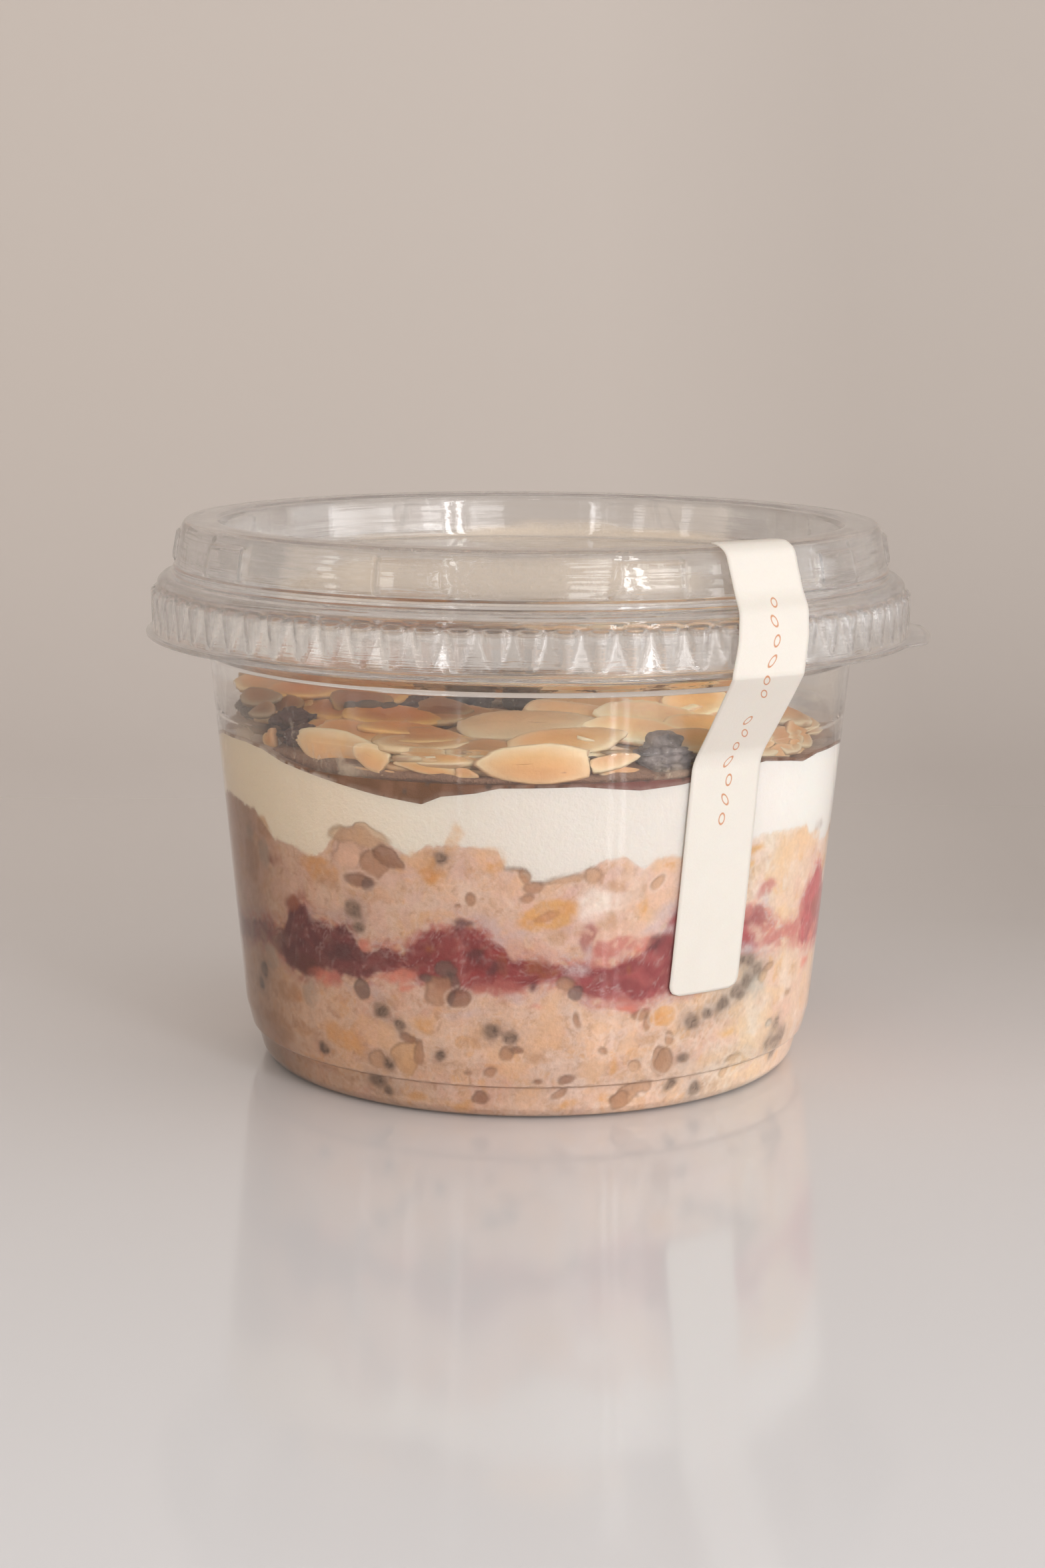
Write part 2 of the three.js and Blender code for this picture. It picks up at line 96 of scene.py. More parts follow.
# Food: how far its skin lies under the outer face of the wall, the radius that turns degrees
# into lengths along the wall, and the radius that a share of the way out is taken from.
FOOD_DEPTH = 0.28
GRID_R = 40.0
FULL_R = 41.0


def tone(red, green, blue):
    """An sRGB colour, in bytes, as linear light."""
    share = np.array([red, green, blue]) / 255
    return np.where(share < 0.04045, share / 12.92, ((share + 0.055) / 1.055) ** 2.4)


def smooth(share):
    """The S curve from 0 to 1, flat beyond both ends."""
    held = np.clip(share, 0, 1)
    return held * held * (3 - 2 * held)


def apart(azimuth, other):
    """The turn from one azimuth to another, from -180 to 180 degrees."""
    return (azimuth - other + 180) % 360 - 180


def polar(azimuth, radius, height):
    """Points at an azimuth in degrees, a radius and a height, as an array of x, y and z."""
    angle = np.radians(azimuth)
    parts = np.broadcast_arrays(radius * np.sin(angle), -radius * np.cos(angle), height)
    return np.stack(parts, axis=-1)


def cloud(points, size, seed, octaves=2):
    """Value noise from 0 to 1: random values at the corners of cubes of one size, blended by the
    S curve, with finer octaves of half the size and half the weight added."""
    table = np.random.default_rng(seed).random((32, 32, 32))
    total = 0
    weights = 0
    for octave in range(octaves):
        place = points * (2.0**octave / size) + 50 + 7 * octave
        cell = np.floor(place).astype(int)
        part = smooth(place - cell)
        value = 0
        for corner in np.ndindex(2, 2, 2):
            step = np.array(corner)
            weight = np.prod(np.where(step, part, 1 - part), axis=-1)
            index = (cell + step) % 32
            value = value + weight * table[index[..., 0], index[..., 1], index[..., 2]]
        total = total + value * 0.5**octave
        weights += 0.5**octave
    return total / weights


def grid_quads(rows, columns, around=True):
    """The corners of each quad of a grid whose columns close on themselves, or end."""
    row = np.arange(rows - 1)[:, None] * columns
    here = np.arange(columns if around else columns - 1)[None, :]
    there = (here + 1) % columns
    quads = np.stack([row + here, row + there, row + columns + there, row + columns + here], axis=-1)
    return quads.reshape(-1, 4)


def mesh_of(name, points, faces, paint=None, chart=None, crease=None):
    """A smooth mesh from points in millimetres and arrays of triangles or quads, with a painted
    colour for each point, a chart, in millimetres, for each point, and crisp edges where faces
    meet at more than the crease, in degrees."""
    mesh = bpy.data.meshes.new(name)
    mesh.vertices.add(len(points))
    mesh.vertices.foreach_set("co", (points * MM).astype(np.float32).ravel())
    corners = np.concatenate([f.ravel() for f in faces]).astype(np.int32)
    sizes = np.concatenate([np.full(len(f), f.shape[1]) for f in faces])
    starts = np.concatenate([[0], np.cumsum(sizes)[:-1]]).astype(np.int32)
    mesh.loops.add(len(corners))
    mesh.loops.foreach_set("vertex_index", corners)
    mesh.polygons.add(len(sizes))
    mesh.polygons.foreach_set("loop_start", starts)
    mesh.update(calc_edges=True)
    mesh.shade_smooth()
    if crease:
        mesh.set_sharp_from_angle(angle=math.radians(crease))
    if paint is not None:
        layer = mesh.color_attributes.new(name="paint", type="FLOAT_COLOR", domain="POINT")
        whole = np.concatenate([paint, np.ones((len(paint), 1))], axis=1)
        layer.data.foreach_set("color", whole.astype(np.float32).ravel())
    if chart is not None:
        layer = mesh.uv_layers.new(name="chart")
        layer.data.foreach_set("uv", chart[corners].astype(np.float32).ravel())
    return mesh


def show(mesh, material, slot, *nodes):
    """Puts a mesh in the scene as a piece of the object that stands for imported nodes."""
    piece = bpy.data.objects.new(mesh.name, mesh)
    bpy.context.scene.collection.objects.link(piece)
    mesh.materials.append(material)
    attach(piece, "root")
    if nodes:
        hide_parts(*nodes)
    return piece


def closed_faces(rows, columns):
    """Faces of a closed grid of rings whose first and last rows are single points, numbered after
    all others: quads between the rings, and a fan at each end."""
    here = np.arange(columns)
    there = (here + 1) % columns
    low = (rows - 2) * columns
    last = low - columns
    bottom = np.stack([there, here, np.full(columns, low)], axis=-1)
    top = np.stack([last + here, last + there, np.full(columns, low + 1)], axis=-1)
    return [grid_quads(rows - 2, columns), bottom, top]


def revolved(rings, paint=None):
    """Points, faces and paint of a closed skin from rings of points, outer side upwards. The
    first and last rings are drawn together into one point each."""
    points = np.concatenate([rings[1:-1].reshape(-1, 3), rings[:1, 0], rings[-1:, 0]])
    faces = closed_faces(*rings.shape[:2])
    if paint is None:
        return points, faces, None
    coats = [paint[1:-1].reshape(-1, 3), paint[:1, 0], paint[-1:, 0]]
    return points, faces, np.concatenate(coats)


def many_times(faces, count, each):
    """The faces of one small thing, repeated for many that have a number of points each."""
    start = (np.arange(count) * each)[:, None, None]
    return [(part[None] + start).reshape(-1, part.shape[1]) for part in faces]


def eased(points, reach, steps, longest):
    """A line with its corners rounded by short curves, and its straights split into equal parts
    no longer than a given length. Each corner is cut back by the reach, or by 0.4 of a side."""
    line = [points[0]]
    for before, corner, after in zip(points, points[1:], points[2:]):
        to_before, to_after = before - corner, after - corner
        back = min(reach, 0.4 * np.linalg.norm(to_before), 0.4 * np.linalg.norm(to_after))
        start = corner + to_before * back / np.linalg.norm(to_before)
        end = corner + to_after * back / np.linalg.norm(to_after)
        for t in np.linspace(0, 1, steps):
            line.append(start * (1 - t) ** 2 + corner * 2 * t * (1 - t) + end * t * t)
    line.append(points[-1])
    whole = [line[0]]
    for start, end in zip(line, line[1:]):
        parts = max(1, math.ceil(np.linalg.norm(end - start) / longest))
        for t in np.arange(1, parts + 1) / parts:
            whole.append(start + (end - start) * t)
    return np.array(whole)


class Socket:
    """A number that varies over a surface. Plain arithmetic on it adds Math nodes."""

    def __init__(self, recipe, socket):
        self.recipe, self.socket = recipe, socket

    def _math(self, operation, *values, held=False):
        """One Math node, its result kept between 0 and 1 if held."""
        settings = {"operation": operation, "use_clamp": held}
        node = self.recipe.node("ShaderNodeMath", settings, dict(enumerate(values)))
        return Socket(self.recipe, node.outputs[0])

    def __add__(self, other):
        return self._math("ADD", self, other)

    def __radd__(self, other):
        return self._math("ADD", other, self)

    def __sub__(self, other):
        return self._math("SUBTRACT", self, other)

    def __rsub__(self, other):
        return self._math("SUBTRACT", other, self)

    def __mul__(self, other):
        return self._math("MULTIPLY", self, other)

    def __rmul__(self, other):
        return self._math("MULTIPLY", other, self)

    def __truediv__(self, other):
        return self._math("DIVIDE", self, other)

    def __rtruediv__(self, other):
        return self._math("DIVIDE", other, self)

    def __pow__(self, other):
        return self._math("POWER", self, other)

    def __abs__(self):
        return self._math("ABSOLUTE", self)

    def floor(self):
        """The whole number at or below it."""
        return self._math("FLOOR", self)

    def sine(self):
        """Its sine, as an angle in radians."""
        return self._math("SINE", self)

    def held(self):
        """The number kept between 0 and 1."""
        return self._math("MULTIPLY", self, 1.0, held=True)

    def between(self, low, high):
        """0 below low, 1 above high, with a straight slope between."""
        return ((self - low) * (1 / (high - low))).held()


class Recipe:
    """One material's nodes."""

    def __init__(self, name):
        self.material = bpy.data.materials.new(name)
        self.material.use_nodes = True
        self.tree = self.material.node_tree
        self.tree.nodes.clear()

    def node(self, kind, settings=None, values=None):
        """Any node: its type, its settings, and the values or links of its sockets."""
        node = self.tree.nodes.new(kind)
        for key, value in (settings or {}).items():
            setattr(node, key, value)
        for key, value in (values or {}).items():
            link = value.socket if isinstance(value, Socket) else value
            if isinstance(link, bpy.types.NodeSocket):
                self.tree.links.new(link, node.inputs[key])
            else:
                node.inputs[key].default_value = link
        return node

    def place(self):
        """The place on the object."""
        return self.node("ShaderNodeTexCoord").outputs["Object"]

    def parts(self, vector):
        """The three numbers of a place or a colour."""
        node = self.node("ShaderNodeSeparateXYZ", None, {"Vector": vector})
        return [Socket(self, output) for output in node.outputs]

    def paint(self):
        """The painted colour."""
        node = self.node("ShaderNodeVertexColor", {"layer_name": "paint"})
        return node.outputs["Color"]

    def toned(self, light):
        """The painted colour made lighter or darker by a number."""
        shade = self.node("ShaderNodeCombineXYZ", None, {0: light, 1: light, 2: light})
        return self.mixed(self.paint(), shade.outputs[0], 1.0, "MULTIPLY")

    def grain(self, size, detail=2.0, rough=0.5, stretch=(1, 1, 1)):
        """Noise from 0 to 1 whose patches are about the given size in millimetres."""
        moved = self.node("ShaderNodeMapping", None, {"Vector": self.place(), "Scale": stretch})
        values = {
            "Vector": moved.outputs[0], "Scale": 1 / (size * MM), "Detail": detail, "Roughness": rough,
        }
        return Socket(self, self.node("ShaderNodeTexNoise", None, values).outputs["Fac"])

    def specks(self, size):
        """Distance from the nearest of many scattered points, in shares of their spacing."""
        values = {"Vector": self.place(), "Scale": 1 / (size * MM)}
        return Socket(self, self.node("ShaderNodeTexVoronoi", None, values).outputs["Distance"])

    def mixed(self, first, second, share, blend="MIX"):
        """Two colours blended by a share."""
        settings = {"data_type": "RGBA", "blend_type": blend}
        colours = [(*c, 1.0) if isinstance(c, (tuple, np.ndarray)) else c for c in (first, second)]
        node = self.node("ShaderNodeMix", settings, {0: share, 6: colours[0], 7: colours[1]})
        return node.outputs[2]

    def bump(self, height, depth, strength=1.0):
        """A normal from a height between 0 and 1 that stands for a depth in millimetres."""
        values = {"Height": height, "Distance": depth * MM, "Strength": strength}
        return self.node("ShaderNodeBump", None, values).outputs[0]

    def principled(self, values):
        """The main shader, from the values or links of its sockets."""
        return self.node("ShaderNodeBsdfPrincipled", None, values).outputs[0]

    def finish(self, shader):
        """The finished material with a shader on its surface."""
        self.node("ShaderNodeOutputMaterial", None, {"Surface": shader})
        return self.material


# Materials.


def clear_plastic(name, index, roughness, waviness, ridges, ripples, clear, light_through, thin):
    """Clear moulded plastic with faint flow waves, low ridges that run round it, deeper ripples
    on the stacking ring and a faint milkiness. Light passes through it, a little dimmed at each
    face, and a share of each view goes straight on, as through a sheet too thin to bend it."""
    recipe = Recipe(name)
    waves = recipe.grain(7.0, 2.0) + 0.25 * recipe.grain(1.1, 2.0)
    waves = waves + ridges * recipe.grain(18.0, 2.0, stretch=(1, 1, 30))
    if ripples:
        x, y, z = recipe.parts(recipe.place())
        radius = (x * x + y * y) ** 0.5
        on_ring = radius.between(44.0 * MM, 45.0 * MM) * z.between(65.8 * MM, 66.4 * MM)
        waves = waves + ripples * on_ring * recipe.grain(15.0, 1.0, stretch=(1, 1, 14))
    scuffs = recipe.grain(2.2, 4.0, 0.7)
    plastic = recipe.principled({
        "Base Color": (0.985, 0.98, 0.972, 1),
        "Roughness": roughness + 0.04 * scuffs.between(0.55, 0.8),
        "IOR": index,
        "Transmission Weight": clear,
        "Normal": recipe.bump(waves, waviness),
    })
    shadow = Socket(recipe, recipe.node("ShaderNodeLightPath").outputs["Is Shadow Ray"])
    dimmed = {"Color": (light_through, light_through, light_through, 1)}
    open_way = recipe.node("ShaderNodeBsdfTransparent", None, dimmed).outputs[0]
    straight = thin + shadow * (1 - thin)
    mixed = recipe.node("ShaderNodeMixShader", None, {0: straight, 1: plastic, 2: open_way})
    return recipe.finish(mixed.outputs[0])


def wall_food(name, roughness, mottle, soft):
    """Food pressed against the wall: its painted colours with fine mottling."""
    recipe = Recipe(name)
    fine = recipe.grain(0.55, 3.0, 0.6).between(0.25, 0.75)
    broad = recipe.grain(2.4, 2.0).between(0.3, 0.7)
    light = 1 - mottle + mottle * (0.6 * fine + 0.4 * broad) * 2
    return recipe.finish(recipe.principled({
        "Base Color": recipe.toned(light),
        "Roughness": roughness,
        "Specular IOR Level": 0.1,
        "Subsurface Weight": soft,
        "Subsurface Radius": (1.0, 0.6, 0.4),
        "Subsurface Scale": 0.0012,
        "Normal": recipe.bump(fine, 0.06),
    }))


def almond_finish():
    """Toasted almond: painted rim and middle, fibres along the slice, a dry waxy face."""
    recipe = Recipe("toasted_almond")
    fibre = recipe.grain(0.5, 3.0, 0.6)
    patch = recipe.grain(1.8, 2.0)
    light = 0.9 + 0.14 * fibre + 0.1 * patch
    return recipe.finish(recipe.principled({
        "Base Color": recipe.toned(light),
        "Roughness": 0.42 + 0.2 * patch,
        "Subsurface Weight": 0.2,
        "Subsurface Radius": (1.0, 0.55, 0.3),
        "Subsurface Scale": 0.0008,
        "Normal": recipe.bump(fibre + 0.5 * patch, 0.08),
    }))


def dark_fruit(name, skin, bloom, bloom_share):
    """Dried fruit: dark wrinkled skin with a dusty bloom on its ridges and pale flecks."""
    recipe = Recipe(name)
    dust = recipe.grain(1.6, 4.0, 0.65)
    fleck = 1 - recipe.specks(0.5).between(0.1, 0.22)
    fine = recipe.grain(0.3, 3.0, 0.6)
    colour = recipe.mixed(skin, bloom, dust.between(0.42, 0.75) * bloom_share)
    colour = recipe.mixed(colour, tone(206, 202, 196), fleck * dust.between(0.46, 0.58) * 0.75)
    return recipe.finish(recipe.principled({
        "Base Color": colour,
        "Roughness": 0.55 + 0.2 * dust,
        "Normal": recipe.bump(dust + 0.3 * fine, 0.25),
    }))


def paper():
    """Cream paper with a faint fibre, and printed outlines of grains in a row down the strip."""
    recipe = Recipe("cream_paper")
    chart = recipe.node("ShaderNodeUVMap", {"uv_map": "chart"}).outputs[0]
    along, across, _ = recipe.parts(chart)
    pitch, first, last, gap_at = 2.45, 9.0, 43.3, 6
    turns = (along - first) / pitch
    step = turns.floor()
    here = (turns - step - 0.5) * pitch
    side = across + 0.3 * (step * 2.1).sine()
    lean = here * 0.5 * (step * 1.7).sine()
    far = ((here / 0.68) ** 2 + ((side - lean) / 0.42) ** 2) ** 0.5
    outline = 1 - (abs(far - 1) * 0.45).between(0.04, 0.12)
    printed = along.between(first, first + 0.01) * (1 - along.between(last, last + 0.01))
    ink = outline * printed * abs(step - gap_at).between(0.4, 0.6)
    fibre = recipe.grain(0.25, 4.0, 0.7)
    cloudy = recipe.grain(3.0, 2.0)
    ground = recipe.mixed(tone(233, 224, 213), tone(243, 236, 227), fibre * 0.6 + cloudy * 0.4)
    colour = recipe.mixed(ground, tone(208, 132, 78), ink * (0.7 + 0.3 * fibre).held())
    return recipe.finish(recipe.principled({
        "Base Color": colour,
        "Roughness": 0.62,
        "Specular IOR Level": 0.35,
        "Subsurface Weight": 0.1,
        "Subsurface Scale": 0.0004,
        "Normal": recipe.bump(fibre, 0.03),
    }))


# The cup and the lid.


def wall_radius(height):
    """Outer radius of the tapering wall."""
    return WALL_R0 + WALL_SLOPE * height


def cup_foot():
    """Radius and height of the rounded foot, its small step and the start of the flare."""
    return np.array([
        (BASE_R, 0.0), (35.2, 0.5), (36.1, 1.5), (FOOT_R, FOOT_TOP), (37.5, 4.85),
        (wall_radius(8), 8.0),
    ])


def outer_radius(height):
    """Outer radius of the cup below its shoulder, foot and all."""
    foot = cup_foot()
    low = np.interp(height, foot[:, 1], foot[:, 0])
    return np.where(height < foot[-1, 1], low, wall_radius(height))


def cup_piece():
    """The cup as a profile turned round the axis: up the outside, over the rolled rim, down the
    inside. A faint moulded ring runs round the inside wall."""
    mark = wall_radius(RING_MARK) - WALL_T
    outside = [(0, 0), *cup_foot(), (wall_radius(SHOULDER), SHOULDER), (45.0, 56.3), (45.9, 62.6)]
    rim = [(48.1, 63.0), (RIM_R, 63.5), (48.1, RIM_TOP), (45.9, 63.9), (45.3, 63.2)]
    inside = [
        (44.49, 56.62), (wall_radius(SHOULDER) - WALL_T, SHOULDER + 0.28),
        (mark + 0.03, RING_MARK + 0.4), (mark - 0.045, RING_MARK), (mark - 0.03, RING_MARK - 0.4),
        (wall_radius(8) - WALL_T, 8), (36.35, FOOT_TOP), (34.95, 1.8), (33.9, BASE_T), (0, BASE_T),
    ]
    profile = np.array([*outside, *rim, *inside], dtype=float)
    line = eased(profile, 0.5, 5, 1.6)
    azimuth = np.arange(240) * 1.5
    rings = polar(azimuth[None, :], line[:, :1], line[:, 1:])
    points, faces, _ = revolved(rings)
    return mesh_of("cup_shell", points, faces)


def without_spare_rows(line):
    """The lid's line without the rows that shape nothing: the middle rows of each straight, where
    two rows on both sides lie far apart. The panel keeps its edge rows and its centre. Kept are
    all rows of the outer skirt, two inside it, and those at the ends of the lugs."""
    radius, height = line.T
    far = np.linalg.norm(np.diff(line, axis=0), axis=1) > 0.55
    spare = radius < 38
    spare[2:-2] |= far[:-3] & far[1:-2] & far[2:-1] & far[3:]
    spare[[0, -1]] = False
    needed = (radius > 49.7) & (height > SKIRT_LOW) & (height < SKIRT_HIGH)
    for least_radius, middle in ((48.8, 60.8), (45, LUG_LOW + 0.2), (45, LUG_HIGH - 0.2)):
        needed |= (radius > least_radius) & (np.abs(height - middle) < 0.8)
    return line[needed | ~spare]


def rib_push(azimuth, radius, height):
    """How far the ribs of the skirt stand out: each a crest that narrows downwards to a point,
    with the skirt drawn in between them."""
    step = 360 / RIBS
    from_rib = np.abs((azimuth + 0.5 * step) % step - 0.5 * step) / step
    rise = np.clip((height - 58.2) / 4.6, 0, 1)
    half = 0.43 * rise**0.6 + 0.001
    crest = smooth(1.7 * (1 - from_rib / half))
    fade = smooth((63.5 - height) / 0.4)
    on_skirt = (radius > 48.8) & (height > SKIRT_LOW) & (height < SKIRT_HIGH)
    return np.where(on_skirt, RIB_DEPTH * (1.6 * crest - 0.5) * rise * fade, 0)


def lug_push(azimuth, radius, height):
    """How far the lugs of the stacking ring stand out: one to each side of the middle of a pair,
    wider downwards on the side that faces it."""
    from_middle = np.abs(apart(azimuth * LUG_PAIRS, 0)) / LUG_PAIRS
    slant = LUG_SLANT * np.clip((LUG_HIGH - height) / (LUG_HIGH - LUG_LOW), 0, 1)
    inner_side = smooth((from_middle - (LUG_OFF - LUG_HALF) + slant) / 0.5)
    outer_side = smooth((LUG_OFF + LUG_HALF - from_middle) / 0.5)
    tall = smooth((height - LUG_LOW) / 0.35) * smooth((LUG_HIGH - height) / 0.35)
    on_ring = (radius > 45.0) & (height > 65.6)
    return np.where(on_ring, LUG_OUT * inner_side * outer_side * tall, 0)


def tab_push(azimuth, radius, height):
    """How far the lifting tab stands out of the edge of the brim."""
    wide = smooth((TAB_HALF - np.abs(apart(azimuth, TAB_AT))) / 5)
    on_edge = smooth((radius - 50.85) / 0.15) * (height < BRIM_Z + 0.5)
    return TAB_OUT * wide * on_edge


def lid_piece():
    """The lid as a profile turned round the axis and pushed outwards by the ribs of the skirt,
    the slanted lugs of the ring and the lifting tab of the brim."""
    under = [
        (0, RECESS_Z - LID_T), (RECESS_R - 0.3, RECESS_Z - LID_T), (RECESS_R + 0.55, RECESS_Z + 0.3),
        (RECESS_R + 1.2, RING_TOP_Z - LID_T), (RING_TOP_R - 0.2, RING_TOP_Z - LID_T),
        (RING_BASE_R - 0.6, LEDGE_Z - LID_T), (48.3, LEDGE_Z - LID_T), (49.0, 63.6), (49.6, 58.1),
        (49.9, BRIM_Z), (BRIM_R, BRIM_Z),
    ]
    over = [
        (BRIM_R, BRIM_Z + 0.4), (50.2, BRIM_Z + 0.6), (49.7, 63.2), (49.35, 64.6), (48.6, 65.25),
        (RING_BASE_R, LEDGE_Z), (47.24, 65.95), (47.42, 66.2), (47.12, 66.45), (46.35, 70.9),
        (46.05, 71.8), (RING_TOP_R, RING_TOP_Z),
        (RECESS_R + 1.2, RING_TOP_Z), (RECESS_R + 0.4, 71.4), (RECESS_R - 0.3, RECESS_Z), (0, RECESS_Z),
    ]
    profile = np.array([*under, *over], dtype=float)
    line = without_spare_rows(eased(profile, 0.35, 4, 0.75))
    radius, height = line[:, :1], line[:, 1:]
    around = 10 * RIBS
    azimuth = np.arange(around)[None, :] * (360 / around)
    push = rib_push(azimuth, radius, height) + lug_push(azimuth, radius, height)
    push = push + tab_push(azimuth, radius, height)
    rings = polar(azimuth, radius + push, height)
    points, faces, _ = revolved(rings[::-1])
    faces = [f[:, ::-1] for f in faces]
    return mesh_of("lid_shell", points, faces)


def strip_piece():
    """The paper strip: a line of stations over the ring, the skirt and the brim, hanging free to
    the wall and running down it, as a ribbon of one width with rounded ends."""
    gap = 0.04
    stations = np.array([
        (35.9, 43.4, 72.62), (35.9, 45.5, 72.62), (36.1, 46.87, 71.7), (36.7, 47.92, 67.1),
        (36.5, 48.52, 66.2), (35.9, 49.82, 64.9), (34.9, 50.92, 61.5), (33.5, 51.62, 57.8),
        (33.5, 51.57, 57.3), (35.8, wall_radius(46.9) + 0.57, 46.9),
        (35.6, wall_radius(45.3) + gap, 45.3), (35.1, wall_radius(30) + gap, 30.0),
        (34.45, wall_radius(17.1) + gap, 17.1), (34.4, wall_radius(15.9) + gap, 15.9),
    ])
    per_degree = math.radians(1) * 46
    line = eased(stations * np.array([per_degree, 1, 1]), 0.9, 5, 0.45)
    sides = np.linalg.norm(np.diff(line, axis=0), axis=1)
    along = np.concatenate([[0], np.cumsum(sides)])
    azimuth = line[:, 0] / per_degree
    radius, height = line[:, 1], line[:, 2]
    from_end = np.minimum(along, along[-1] - along)
    inset = np.clip(1 - from_end / STRIP_CORNER, 0, 1)
    half = STRIP_HALF - STRIP_CORNER * (1 - np.sqrt(1 - inset**2))
    across = np.linspace(-1, 1, 21)
    offset = half[:, None] * across[None, :]
    turn = azimuth[:, None] + np.degrees(offset / radius[:, None])
    ripple = cloud(np.stack([along[:, None] + 0 * offset, offset, 0 * offset], axis=-1), 6.0, 91)
    points = polar(turn, radius[:, None] + 0.08 * ripple, height[:, None])
    rows, columns = points.shape[:2]
    chart = np.stack([along[:, None] + 0 * offset, offset], axis=-1).reshape(-1, 2)
    faces = [grid_quads(rows, columns, around=False)[:, ::-1]]
    mesh = mesh_of("paper_strip", points.reshape(-1, 3), faces, chart=chart)
    piece = show(mesh, paper(), "strip_paper", "seal_strip")
    thick = piece.modifiers.new("paper thickness", "SOLIDIFY")
    thick.thickness = STRIP_T * MM
    thick.offset = 1


# Edges between the layers at the wall: the front as azimuth and height, the back as a mean
# level with rounded bumps of azimuth, width and height.

JAM_BOTTOM = (17.3, [(110, 9, -1.6), (150, 8, 2.2), (205, 10, -1.4), (245, 8, 1.8)], [
    (-75, 17.2), (-64, 18.8), (-57, 19.0), (-52, 17.2), (-45, 16.0), (-40, 17.8), (-34, 17.1),
    (-27, 18.7), (-23, 19.3), (-20, 18.4), (-13, 16.6), (-9, 18.0), (-2, 17.7), (6, 19.3), (11, 16.6),
    (20, 15.5), (28, 16.4), (36, 17.6), (43, 20.2), (55, 20.5), (60, 20.0), (67, 18.1), (75, 17.8),
])
JAM_TOP = (22.0, [(120, 9, 2.8), (165, 7, -1.8), (215, 9, 3.4)], [
    (-75, 20.4), (-66, 21.2), (-58, 22.3), (-52, 21.7), (-49.5, 24.9), (-45, 25.9), (-43, 24.1),
    (-38.5, 23.5), (-35, 24.5), (-31.5, 21.2), (-26, 22.2), (-23, 21.6), (-19, 24.3), (-12, 26.1),
    (-8, 25.2), (-3.5, 22.8), (0, 21.4), (8, 21.0), (15, 20.4), (20, 21.9), (25, 24.6), (28, 28.2),
    (34, 26.5), (42, 24.2), (47, 26.1), (51, 23.8), (56, 21.7), (60, 21.8), (66, 26.9), (71, 28.4),
    (75, 28.0),
])
OATS_TOP = (35.2, [(125, 8, -2.6), (170, 9, 1.6), (220, 8, -2.4)], [
    (-75, 37.4), (-66, 36.9), (-59, 36.5), (-53, 33.4), (-47, 33.1), (-43, 32.1), (-39, 33.6),
    (-35, 36.6), (-31, 37.4), (-26, 35.7), (-21, 34.0), (-18, 35.5), (-12, 35.9), (-5.2, 35.2),
    (-4, 33.0), (-1.2, 32.9), (0.5, 31.4), (3.5, 31.4), (9, 32.6), (13.5, 34.1), (17, 34.3), (20, 32.7),
    (24, 34.0), (30, 33.6), (38, 34.2), (46, 35.3), (56, 35.0), (61, 34.8), (64, 33.0), (70, 31.8),
    (75, 31.5),
])
YOGHURT_TOP = (43.3, [(110, 12, -1.0), (160, 10, 1.2), (215, 12, -0.8)], [
    (-75, 45.0), (-60, 45.3), (-54, 45.0), (-48, 43.9), (-41, 43.1), (-34, 42.3), (-27, 41.5),
    (-18.5, 40.8), (-15, 41.9), (-9, 42.5), (-5, 43.2), (9, 43.4), (19, 42.7), (27, 43.1), (38, 44.4),
    (45, 44.8), (52, 44.2), (56.5, 43.7), (62, 44.2), (75, 44.0),
])

# Mean heights of the top of the syrup and of the heap.
FILM_TOP = 44.3
HEAP_TOP = 46.1


def edge_at(edge, azimuth):
    """Height of an edge at the wall: straight runs between its front points, its back bumps, and
    an S curve from one to the other past 72 degrees."""
    mean, bumps, front = edge
    turn = apart(azimuth, 0)
    at, height = np.array(front).T
    near = np.interp(turn, at, height)
    far = mean
    for middle, width, rise in bumps:
        far = far + rise * np.exp(-((apart(azimuth, middle) / width) ** 2))
    back = smooth((np.abs(turn) - 72) / 14)
    return near * (1 - back) + far * back


def level(edge, phase, azimuth, share):
    """A level inside the cup: its edge at the wall, fading into a calm, slightly wavy middle."""
    weight = smooth((share - 0.45) / 0.5)
    inner = edge[0] + 0.5 * share * np.sin(np.radians(2 * azimuth) + phase)
    return edge_at(edge, azimuth) * weight + inner * (1 - weight)


jam_bottom = partial(level, JAM_BOTTOM, 0.4)
jam_top = partial(level, JAM_TOP, 1.3)
oats_top = partial(level, OATS_TOP, 2.1)
yoghurt_top = partial(level, YOGHURT_TOP, 0)


def film_top(azimuth, share):
    """The top of the syrup, always a little over the yoghurt."""
    swell = 0.2 * np.sin(np.radians(3 * azimuth)) * share
    return np.maximum(FILM_TOP - 0.65 + swell, yoghurt_top(azimuth, share) + 0.45)


def heap_top(azimuth, share):
    """The top of the heap of flakes, higher in the middle."""
    swell = 0.5 * np.sin(np.radians(2 * azimuth) + 2) + 0.35 * np.sin(np.radians(5 * azimuth))
    return HEAP_TOP + swell * share + 0.7 * (1 - share)


# Tones of the food in even light.

